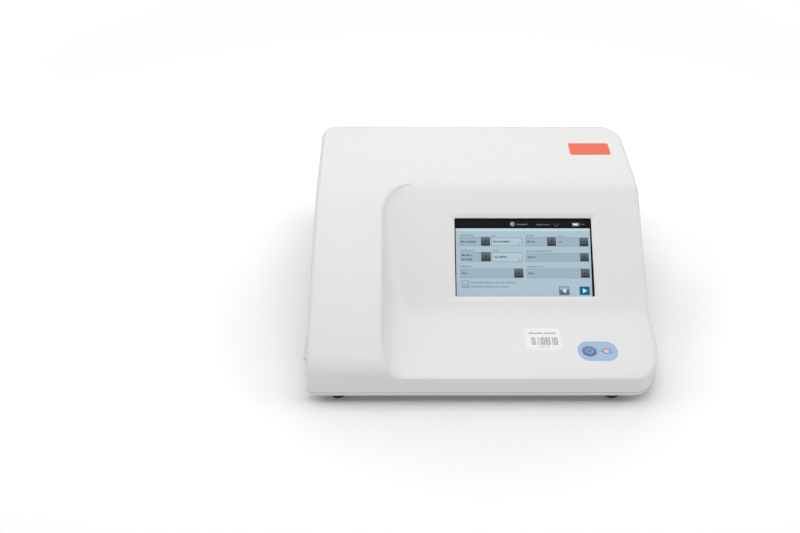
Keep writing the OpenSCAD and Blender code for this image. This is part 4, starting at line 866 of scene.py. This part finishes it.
class ECG_OT_controls(Maker):
    """Power pad, key, lamp, their marks and the small board under them"""

    bl_idname = "ecg.controls"
    bl_label = "Controls"

    def execute(self, context):
        look = context.scene.ecg_controls
        pad = moulded("pad_blue", look.pad, 0.38, 0.0006, 0.03, 0.10)
        key = moulded("key_blue", look.key, 0.34, 0.0006, 0.05, 0.08)
        mark = moulded("mark_blue", look.mark, 0.4, 0.0006, 0.03, 0.05)
        lamp, _ = principled(
            "lamp_lens", base_color=look.lamp, roughness=0.25, emission_color=look.lamp, emission_strength=0.25
        )
        refined("power_pad", [pad], bevel=SOFT)
        refined("power_key", [key], smooth=40)
        refined("status_led", [lamp], smooth=40)
        shelf = SHELF.inverted()
        board_top = min((shelf @ v.co).z for v in NODES["key_board"].data.vertices) + 1.2 * MM
        refined(
            "key_board", ["circuit_green", "black_plastic", "connector_cream"],
            pick=lambda c, n: 0 if (shelf @ ((c + MIDDLE) * MM)).z < board_top else (1 if c.x < 120 else 2),
        )
        shape = Shape(SHELF @ Matrix.Translation((-9.0 * MM, 0, 0)))
        shape.slab(arc_band(0.1, -0.3, 3.3, 0.75, 125, 415), 0.70, 1.02)
        shape.box(-0.3, 0.5, 0.4, 4.4, 0.70, 1.02, r=0.3)
        shape.make("power_mark", [mark], "key_blue", "key")
        shape = Shape(SHELF @ Matrix.Translation((9.2 * MM, 0, 0)))
        # a plug round the lamp: its lead, its body and its two pins
        for outline in (
            arc_band(0, 0, 3.7, 0.95, 100, 260), rectangle(-0.4, 3.6, 3.3, 4.2, 0.2),
            rectangle(-0.4, 3.6, -4.2, -3.3, 0.2), rectangle(3.5, 4.4, -4.2, 4.2, 0.2),
            rectangle(4.4, 6.6, 1.3, 2.2, 0.2), rectangle(4.4, 6.6, -2.2, -1.3, 0.2),
            rectangle(-7.2, -4.0, -0.5, 0.5, 0.2),
        ):
            shape.slab(outline, -0.05, 0.05)
        shape.make("plug_mark", [key], "pad_blue")
        return {"FINISHED"}


class ECG_OT_labels(Maker):
    """Blank sticker on the top, label on the shelf and blank plate underneath"""

    bl_idname = "ecg.labels"
    bl_label = "Labels"

    # bars of the label: distance from its middle and width
    BARS = (
        (-14.6, 0.7), (-13.2, 0.4), (-12.2, 1.0), (-10.4, 0.5), (-7.4, 0.4), (-6.4, 0.3), (-4.4, 0.5), (-3.2, 1.0),
        (-1.6, 0.5), (-0.4, 0.9), (1.2, 0.4), (2.2, 1.1), (3.9, 0.5), (5.1, 0.8), (6.5, 0.5), (9.2, 0.8),
        (10.7, 0.4), (11.7, 0.9), (13.4, 0.5), (14.4, 0.9),
    )

    def execute(self, context):
        look = context.scene.ecg_labels
        red = moulded("sticker_red", look.sticker, 0.42, 0.0008, 0.08, 0.1, specular_ior_level=0.2)
        paper = moulded("label_paper", look.label, 0.5, 0.0006, 0.03, 0.1)
        ink = moulded("label_ink", (0.24, 0.24, 0.25), 0.5, 0.0006, 0.05, 0.1)
        shape = Shape(plane(141.5, 297.5, 136.18, 0.3))
        shape.box(-24.5, 24.5, -13.5, 13.5, -0.05, 0.12, 0, 0.05, r=2.5)
        shape.make("blank_sticker", [red], "housing_white", smooth=30)
        shape = Shape(plane(66.5, 57.0, 38.486, 3.5))
        shape.box(-20.2, 18.6, -14.1, 17.9, -0.05, 0.1, 0, 0.04, r=0.8)
        for x, w in self.BARS:
            x *= 0.95
            shape.box(x, x + w, -7.8, 4.2, 0.1, 0.13, 1)
        draw = random.Random(3)
        for x0, x1, y, h in ((-15.6, -2.8, 10.2, 2.6), (0.0, 12.0, 10.2, 2.6), (-6.4, 5.2, -10.6, 1.3)):
            x = x0
            while x < x1:
                w = draw.uniform(0.9, 1.6)
                rise = draw.choice((-0.2, 0.0, 0.25)) * h
                shape.box(x, x + w, y - h / 3, y + h / 3 + rise, 0.1, 0.13, 1)
                x += w + 0.45
        shape.make("plain_label", [paper, ink], "housing_white")
        under = Shape(plane(40.0, 120.0, 8.8) @ Matrix.Rotation(math.pi, 4, "X"))
        under.box(-45, 45, -27, 27, -0.05, 0.12, 0, 0.05, r=3)
        under.make("blank_plate", ["tin_plate"], "housing_white", smooth=30)
        return {"FINISHED"}


def paper_stack(sheets):
    """Folded stack: thin layers slightly out of line, the fold edges rounded, a grid on top."""
    x0, x1, y0, y1, z0, z1 = -151.7, 128.2, 41.05, 256.95, 16.62, 22.1
    draw = random.Random(11)
    stack = Shape()
    thick = (z1 - z0) / sheets
    for k in range(sheets):
        nudge, shift = draw.uniform(0, 0.35), draw.uniform(0, 0.25)
        z = z0 + k * thick
        outline = rectangle(x0 + nudge, x1 - 0.35 + nudge, y0 + shift, y1 - 0.25 + shift)
        stack.slab(outline, z, z + thick * 0.97, 1 if k == sheets - 1 else 0, thick * 0.3)
    mark = rectangle(x1 - 9, x1 - 4, y0 + 6, y0 + 20)
    stack.slab(mark, z1 - 0.05, z1 + 0.02, 2)
    made = stack.make("paper_stack", ["paper_plain", "chart_paper", "chip_black"], "paper_white", "drawer")
    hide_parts("paper_pack")


def gear_hub():
    """Raised hub of the roller's gear."""
    x, z = ROLLER
    hub = Shape(wall(x, 269.4, z, 180))
    hub.slab(arc_band(0, 0, 4.3, 1.6, 0, 360, 40), 0.0, 0.9)
    hub.make("gear_hub", ["gear_nylon"], "gear_nylon", "roller", 30)


class ECG_OT_drawer(Maker):
    """Paper drawer with its latch, rails, roller, gear and stack of chart paper"""

    bl_idname = "ecg.drawer"
    bl_label = "Paper drawer"

    def execute(self, context):
        look = context.scene.ecg_paper
        edge = context.scene.ecg_housing.edge * 0.8
        refine_rows(
            ("paper_drawer", "housing_white", edge), ("drawer_latch", "housing_white", edge * 0.7),
            ("drawer_rails", "steel", FINE), ("tear_bar", "bright_steel"), ("platen_roller", "roller_rubber", 0, 40),
            ("platen_gear", "gear_nylon"),
        )
        dress("bright_steel", "platen_shaft")
        squeezed("latch_spring")
        dress("brass", "platen_bushes")
        paper_stack(look.sheets)
        gear_hub()
        return {"FINISHED"}


def motor_end():
    """End plates, screws and the plug of the stepping motor."""
    shape = Shape(wall(-145.07, 300.4, 50.18, 180))
    for x, y in rectangle(-13, 13, -13, 13):
        shape.turned(x, y, 0, [(2.3, 0), (2.3, 0.8), (1.9, 1.2)], 20, 1)
    shape.turned(0, 0, 0, [(6.0, 0), (5.6, 0.7), (2.2, 0.7), (2.0, 1.4)], 32, 1)
    shape.box(-6, 6, -16.5, -11.5, 0.0, 2.0)
    shape.make("motor_end", ["connector_cream", "bright_steel"], "motor_black", smooth=30)


class ECG_OT_printer(Maker):
    """Print head, its frame and springs, and the motor with its gears"""

    bl_idname = "ecg.printer"
    bl_label = "Printer"

    def execute(self, context):
        refine_rows(
            ("print_head", "aluminium", SOFT), ("heater_strip", "ceramic"), ("printer_frame", "steel", SOFT),
            ("motor_bracket", "steel", FINE), ("idler_gear", "gear_nylon"),
        )
        dress("bright_steel", "head_pivot")
        squeezed("head_springs")
        dress("brass", "motor_pinion")
        refined("drive_motor", ["motor_black", "tin_plate"], SOFT, pick=lambda c, n: int(276.5 < c.y < 296.5))
        motor_end()
        # line of heating dots along the strip
        dots = Shape(plane(ROLLER[0], 0, 45.3))
        dots.box(-0.6, 0.6, 44.0, 254.0, -0.03, 0.02)
        dots.make("heating_line", ["chip_black"], "ceramic", "head")
        return {"FINISHED"}


def circuit_board(node, box, others, chips, seed):
    """A board with finishes by place, small parts in rows and the legs of its chips."""
    x, y, w, d = box

    def pick(c, n):
        if c.z < BOARD_TOP + 0.02:
            return 0
        u, v = c.x - x, c.y - y
        for x0, x1, y0, y1, finish in others:
            if x0 <= u <= x1 and y0 <= v <= y1:
                return 7 if finish == 3 and n.z > 0.5 else finish
        return 1

    refined(
        node, ["circuit_green", "chip_black", "aluminium", "wrap_blue", "motor_black", "connector_cream", "coil_yellow",
               "tin_plate"], pick=pick, bevel=FINE,
    )
    shape = Shape(plane(x, y, BOARD_TOP))
    for cx, cy, cw, cl, sides in chips:
        chip_legs(shape, cx, cy, cw, cl, sides)
    draw = random.Random(seed)
    taken = [(cx - 2, cx + cw + 2, cy - 2, cy + cl + 2) for cx, cy, cw, cl, _ in chips]
    taken += [(x0 - 1, x1 + 1, y0 - 1, y1 + 1) for x0, x1, y0, y1, _ in others]
    taken += [(sx - 5, sx + 5, sy - 5, sy + 5) for sx in (4, w - 4) for sy in (4, d - 4)]
    if node == "ecg_board":
        taken.append((8, 30, 6, 30))
    for row in range(int((d - 6) // 5)):
        for column in range(int((w - 6) // 5)):
            u, v = 3.5 + 5 * column, 3.5 + 5 * row
            if draw.random() < 0.55 or any(a < u < b and c < v < e for a, b, c, e in taken):
                continue
            small_part(shape, u, v, draw)
    shape.make(node + "_parts", ["chip_black", "part_tan", "tin_plate", "board_ink"], slot_of(node), body_of(node))


def chip_legs(shape, x, y, w, l, sides):
    """Legs on two or four sides of a chip, and the printed line round it."""
    for k in range(int((w - 1.4) / LEG_PITCH) + 1 if sides == 4 else 0):
        u = x + 0.8 + LEG_PITCH * k
        for v in (y - 1.0, y + l):
            shape.box(u, u + 0.5, v, v + 1.0, 0.0, 0.35, 2)
    for k in range(int((l - 1.4) / LEG_PITCH) + 1):
        v = y + 0.8 + LEG_PITCH * k
        for u in (x - 1.0, x + w):
            shape.box(u, u + 1.0, v, v + 0.5, 0.0, 0.35, 2)
    for outline in frame_bars(x - 1.8, x + w + 1.8, y - 1.8, y + l + 1.8, 0.25):
        shape.slab(outline, 0.0, 0.04, 3)


def small_part(shape, u, v, draw):
    """A resistor, capacitor or small transistor, with its soldered ends."""
    kind = draw.choice((0, 0, 1, 1, 2))
    length, width, high = ((2.0, 1.2, 0.5), (2.0, 1.2, 1.1), (2.9, 1.5, 1.0))[kind]
    turn = draw.random() < 0.5

    def block(a, b, side, high, pick):
        if turn:
            shape.box(u - side, u + side, v + a, v + b, 0.0, high, pick)
        else:
            shape.box(u + a, u + b, v - side, v + side, 0.0, high, pick)

    half = length / 2
    block(-half, half, width / 2, high, 1 if kind == 1 else 0)
    for a, b in ((-half - 0.15, -half + 0.35), (half - 0.35, half + 0.15)):
        block(a, b, width / 2 + 0.05, high * 0.8, 2)


class ECG_OT_boards(Maker):
    """Chassis, circuit boards and what is on them, and the speaker"""

    bl_idname = "ecg.boards"
    bl_label = "Boards"

    MAIN = (-28.0, 128.0, 170.27, 168.5)
    POWER = (-112.0, 132.0, 78.0, 167.3)
    ECG = (148.27, 120.0, 32.0, 100.0)
    IO = (-126.25, 305.3, 85.0, 40.0)

    def execute(self, context):
        refined("chassis", ["steel"], bevel=FINE)
        dress("brass", "board_spacers")
        dress("tin_plate", "ecg_shield")
        dress("bright_steel", "chassis_screws", "housing_screws")
        # each board: parts that aren't chips, by their box and finish, then chips with legs
        circuit_board("main_board", self.MAIN, [
            (14, 24, 20, 90, 4), (38, 62, 18, 72, 3), (60, 100, 0, 20, 5), (18, 42, 98, 114, 5),
            (140, 162, 130, 160, 5),
        ], [(92, 60, 27, 27, 4), (58, 58, 14, 18, 2), (58, 84, 14, 18, 2), (140.27, 64, 10, 10, 4)], 2)
        circuit_board("power_supply", self.POWER, [
            (10, 48, 48, 82, 6), (52, 60, 38, 102, 2), (10, 36, 90, 114, 6), (12, 60, 12, 36, 3), (12, 44, 140, 160, 5),
        ], [(64, 112, 8, 12, 2)], 4)
        circuit_board("ecg_board", self.ECG, [(2, 10, 8, 22, 5)], [(10, 76, 12, 12, 4)], 6)
        circuit_board("io_board", self.IO, [(56, 74, 2, 18, 5)], [(34, 6, 12, 12, 4)], 8)
        refined(
            "speaker", ["black_plastic", "paper_plain", "steel"], smooth=40,
            pick=lambda c, n: 1 if c.z < 16.9 and math.dist((c.x, c.y), (70, 286)) < 14.5 else (2 if c.z > 17.5 else 0),
        )
        return {"FINISHED"}


def on_tongue(c, _):
    """1 for a face of the USB sockets that is on one of their four tongues."""
    near = min(abs(c.x - x) for x in USB_X)
    return int(near < 5.6 and 335.4 < c.y < 345.8 and (39.4 < c.z < 41.5 or 47.3 < c.z < 49.4))


def socket_contacts():
    """Contacts in the USB and network sockets and the tongue of the service socket."""
    shape = Shape()
    for x in USB_X:
        for z in (39.4, 47.3):
            for k in range(4):
                u = x - 3.6 + 2.4 * k
                shape.box(u - 0.5, u + 0.5, 336.5, 345.0, z - 0.03, z + 0.05)
    for k in range(8):
        u = LAN_X - 3.57 + 1.02 * k
        shape.box(u - 0.25, u + 0.25, 336.2, 343.5, 44.7, 45.35)
    shape.box(-55.6, -50.9, 341.6, 345.8, 36.6, 37.3, 1)
    for k in range(5):
        u = -54.55 + 0.65 * k
        shape.box(u - 0.15, u + 0.15, 341.8, 345.6, 37.3, 37.4)
    shape.make("socket_contacts", ["gold", "black_plastic"], "plated_shell")


def port_contacts():
    """Two rows of contact holes in the patient port."""
    shape = Shape(wall(187.25, 170.0, 47.4, 90))
    for count, z in ((8, 1.42), (7, -1.42)):
        for k in range(count):
            u = (k - (count - 1) / 2) * 2.76
            shape.slab(arc_band(u, z, 0.62, 0.3, 0, 360, 18), -0.02, 0.08)
            shape.slab(ring_of(u, z, 0.47, 14), -0.02, 0.02, 1)
    shape.make("port_contacts", ["gold", "chip_black"], "plated_shell")


def socket_marks():
    """Small plain pictograms moulded in grey over the sockets."""
    shape = Shape(wall(0, REAR, 72.3, 180))
    boxes = [rectangle(u - 0.9, u + 0.9, v - 0.8, v + 0.8, 0.2) for u, v in ((0, 1.8), (-2.6, -1.8), (2.6, -1.8))]
    for x, outlines in (
        # earth point: a ring with a stem and three bars
        (-136.25, [arc_band(0, 0, 3.6, 0.5, 0, 360, 40), rectangle(-0.25, 0.25, -0.6, 2.6),
                   *[rectangle(-h, h, -0.9 - k * 0.9, -0.5 - k * 0.9) for k, h in enumerate((2.0, 1.3, 0.6))]]),
        # memory and keyboard: a stick with a dot and a point
        (-104.25, [rectangle(-3.6, 3.0, -0.25, 0.25), ring_of(-3.6, 0, 0.9, 20),
                   [(3.0, -0.8), (4.4, 0), (3.0, 0.8)]]),
        # network: three boxes joined
        (LAN_X, [*boxes, rectangle(-2.8, 2.8, -0.15, 0.15), rectangle(-0.2, 0.2, 0.0, 1.2),
                  *[rectangle(u - 0.2, u + 0.2, -1.2, 0.0) for u in (-2.6, 2.6)]]),
        # mains: one wave
        (-27.25, [arc_band(-1.5, 0, 1.5, 0.5, 0, 180), arc_band(1.5, 0, 1.5, 0.5, 180, 360)]),
    ):
        for outline in outlines:
            shape.slab([(u - x, v) for u, v in outline], -0.03, 0.12)
    shape.make("socket_marks", ["cover_grey"], "housing_white")


class ECG_OT_sockets(Maker):
    """Sockets at the back and the patient port at the side"""

    bl_idname = "ecg.sockets"
    bl_label = "Sockets"

    def execute(self, context):
        refine_rows(
            ("mains_inlet", "black_plastic", SOFT), ("earth_pin", "brass", FINE), ("service_port", "tin_plate", HAIR),
            ("patient_plate", "cover_grey", SOFT),
        )
        dress("tin_plate", "rear_panel")
        dress("bright_steel", "inlet_pins", "battery_screw")
        refined("usb_ports", ["tin_plate", "black_plastic"], bevel=HAIR, pick=on_tongue)
        refined(
            "network_port", ["tin_plate", "black_plastic"], bevel=HAIR,
            pick=lambda c, n: int(abs(c.x - LAN_X) < 6.2 and 36.4 < c.z < 45.6 and c.y < 347.9),
        )
        refined(
            "patient_port", ["tin_plate", "black_plastic", "bright_steel"], bevel=FINE,
            pick=lambda c, n: 2 if abs(c.y - 170) > 13.3 and c.x > 183.4 else int(184.5 < c.x < 187.5 and n.x > 0.9),
        )
        socket_contacts()
        port_contacts()
        socket_marks()
        return {"FINISHED"}


class ECG_OT_battery(Maker):
    """Battery pack with its wrap and label"""

    bl_idname = "ecg.battery"
    bl_label = "Battery"

    def execute(self, context):
        refined("battery_pack", ["wrap_blue"], bevel=1.2 * MM, smooth=50)
        shape = Shape(plane(98.25, 327.5, 66.6))
        shape.box(-38, 38, -17, 17, -0.04, 0.06, r=2)
        shape.box(-36, 36, 8, 15, 0.06, 0.08, 1, r=0.5)
        shape.make("battery_label", ["paper_plain", "cover_grey"], "battery_blue")
        return {"FINISHED"}


OPERATORS = (
    ECG_OT_stage, ECG_OT_housing, ECG_OT_screen, ECG_OT_controls, ECG_OT_labels, ECG_OT_drawer, ECG_OT_printer,
    ECG_OT_boards, ECG_OT_sockets, ECG_OT_battery,
)


class ECG_PT_looks(bpy.types.Panel):
    """Panel that lists the operators and their settings."""

    bl_label = "Electrocardiograph"
    bl_idname = "ECG_PT_looks"
    bl_space_type = "VIEW_3D"
    bl_region_type = "UI"
    bl_category = "ECG"

    def draw(self, context):
        for operator in OPERATORS:
            self.layout.operator(operator.bl_idname)
        for name in SETTINGS:
            box = self.layout.box()
            look = getattr(context.scene, name)
            for key in look.__annotations__:
                box.prop(look, key)


SETTINGS = {
    "ecg_housing": HousingLook, "ecg_screen": ScreenLook, "ecg_controls": ControlLook,
    "ecg_labels": LabelLook, "ecg_paper": PaperLook, "ecg_stage": StageLook,
}


def register():
    for name, settings in SETTINGS.items():
        bpy.utils.register_class(settings)
        setattr(bpy.types.Scene, name, PointerProperty(type=settings))
    for cls in (*OPERATORS, ECG_PT_looks):
        bpy.utils.register_class(cls)


def unregister():
    for cls in (ECG_PT_looks, *reversed(OPERATORS)):
        bpy.utils.unregister_class(cls)
    for name, settings in SETTINGS.items():
        delattr(bpy.types.Scene, name)
        bpy.utils.unregister_class(settings)


def main():
    register()
    for operator in OPERATORS:
        space, name = operator.bl_idname.split(".")
        getattr(getattr(bpy.ops, space), name)()


if __name__ == "__main__":
    main()
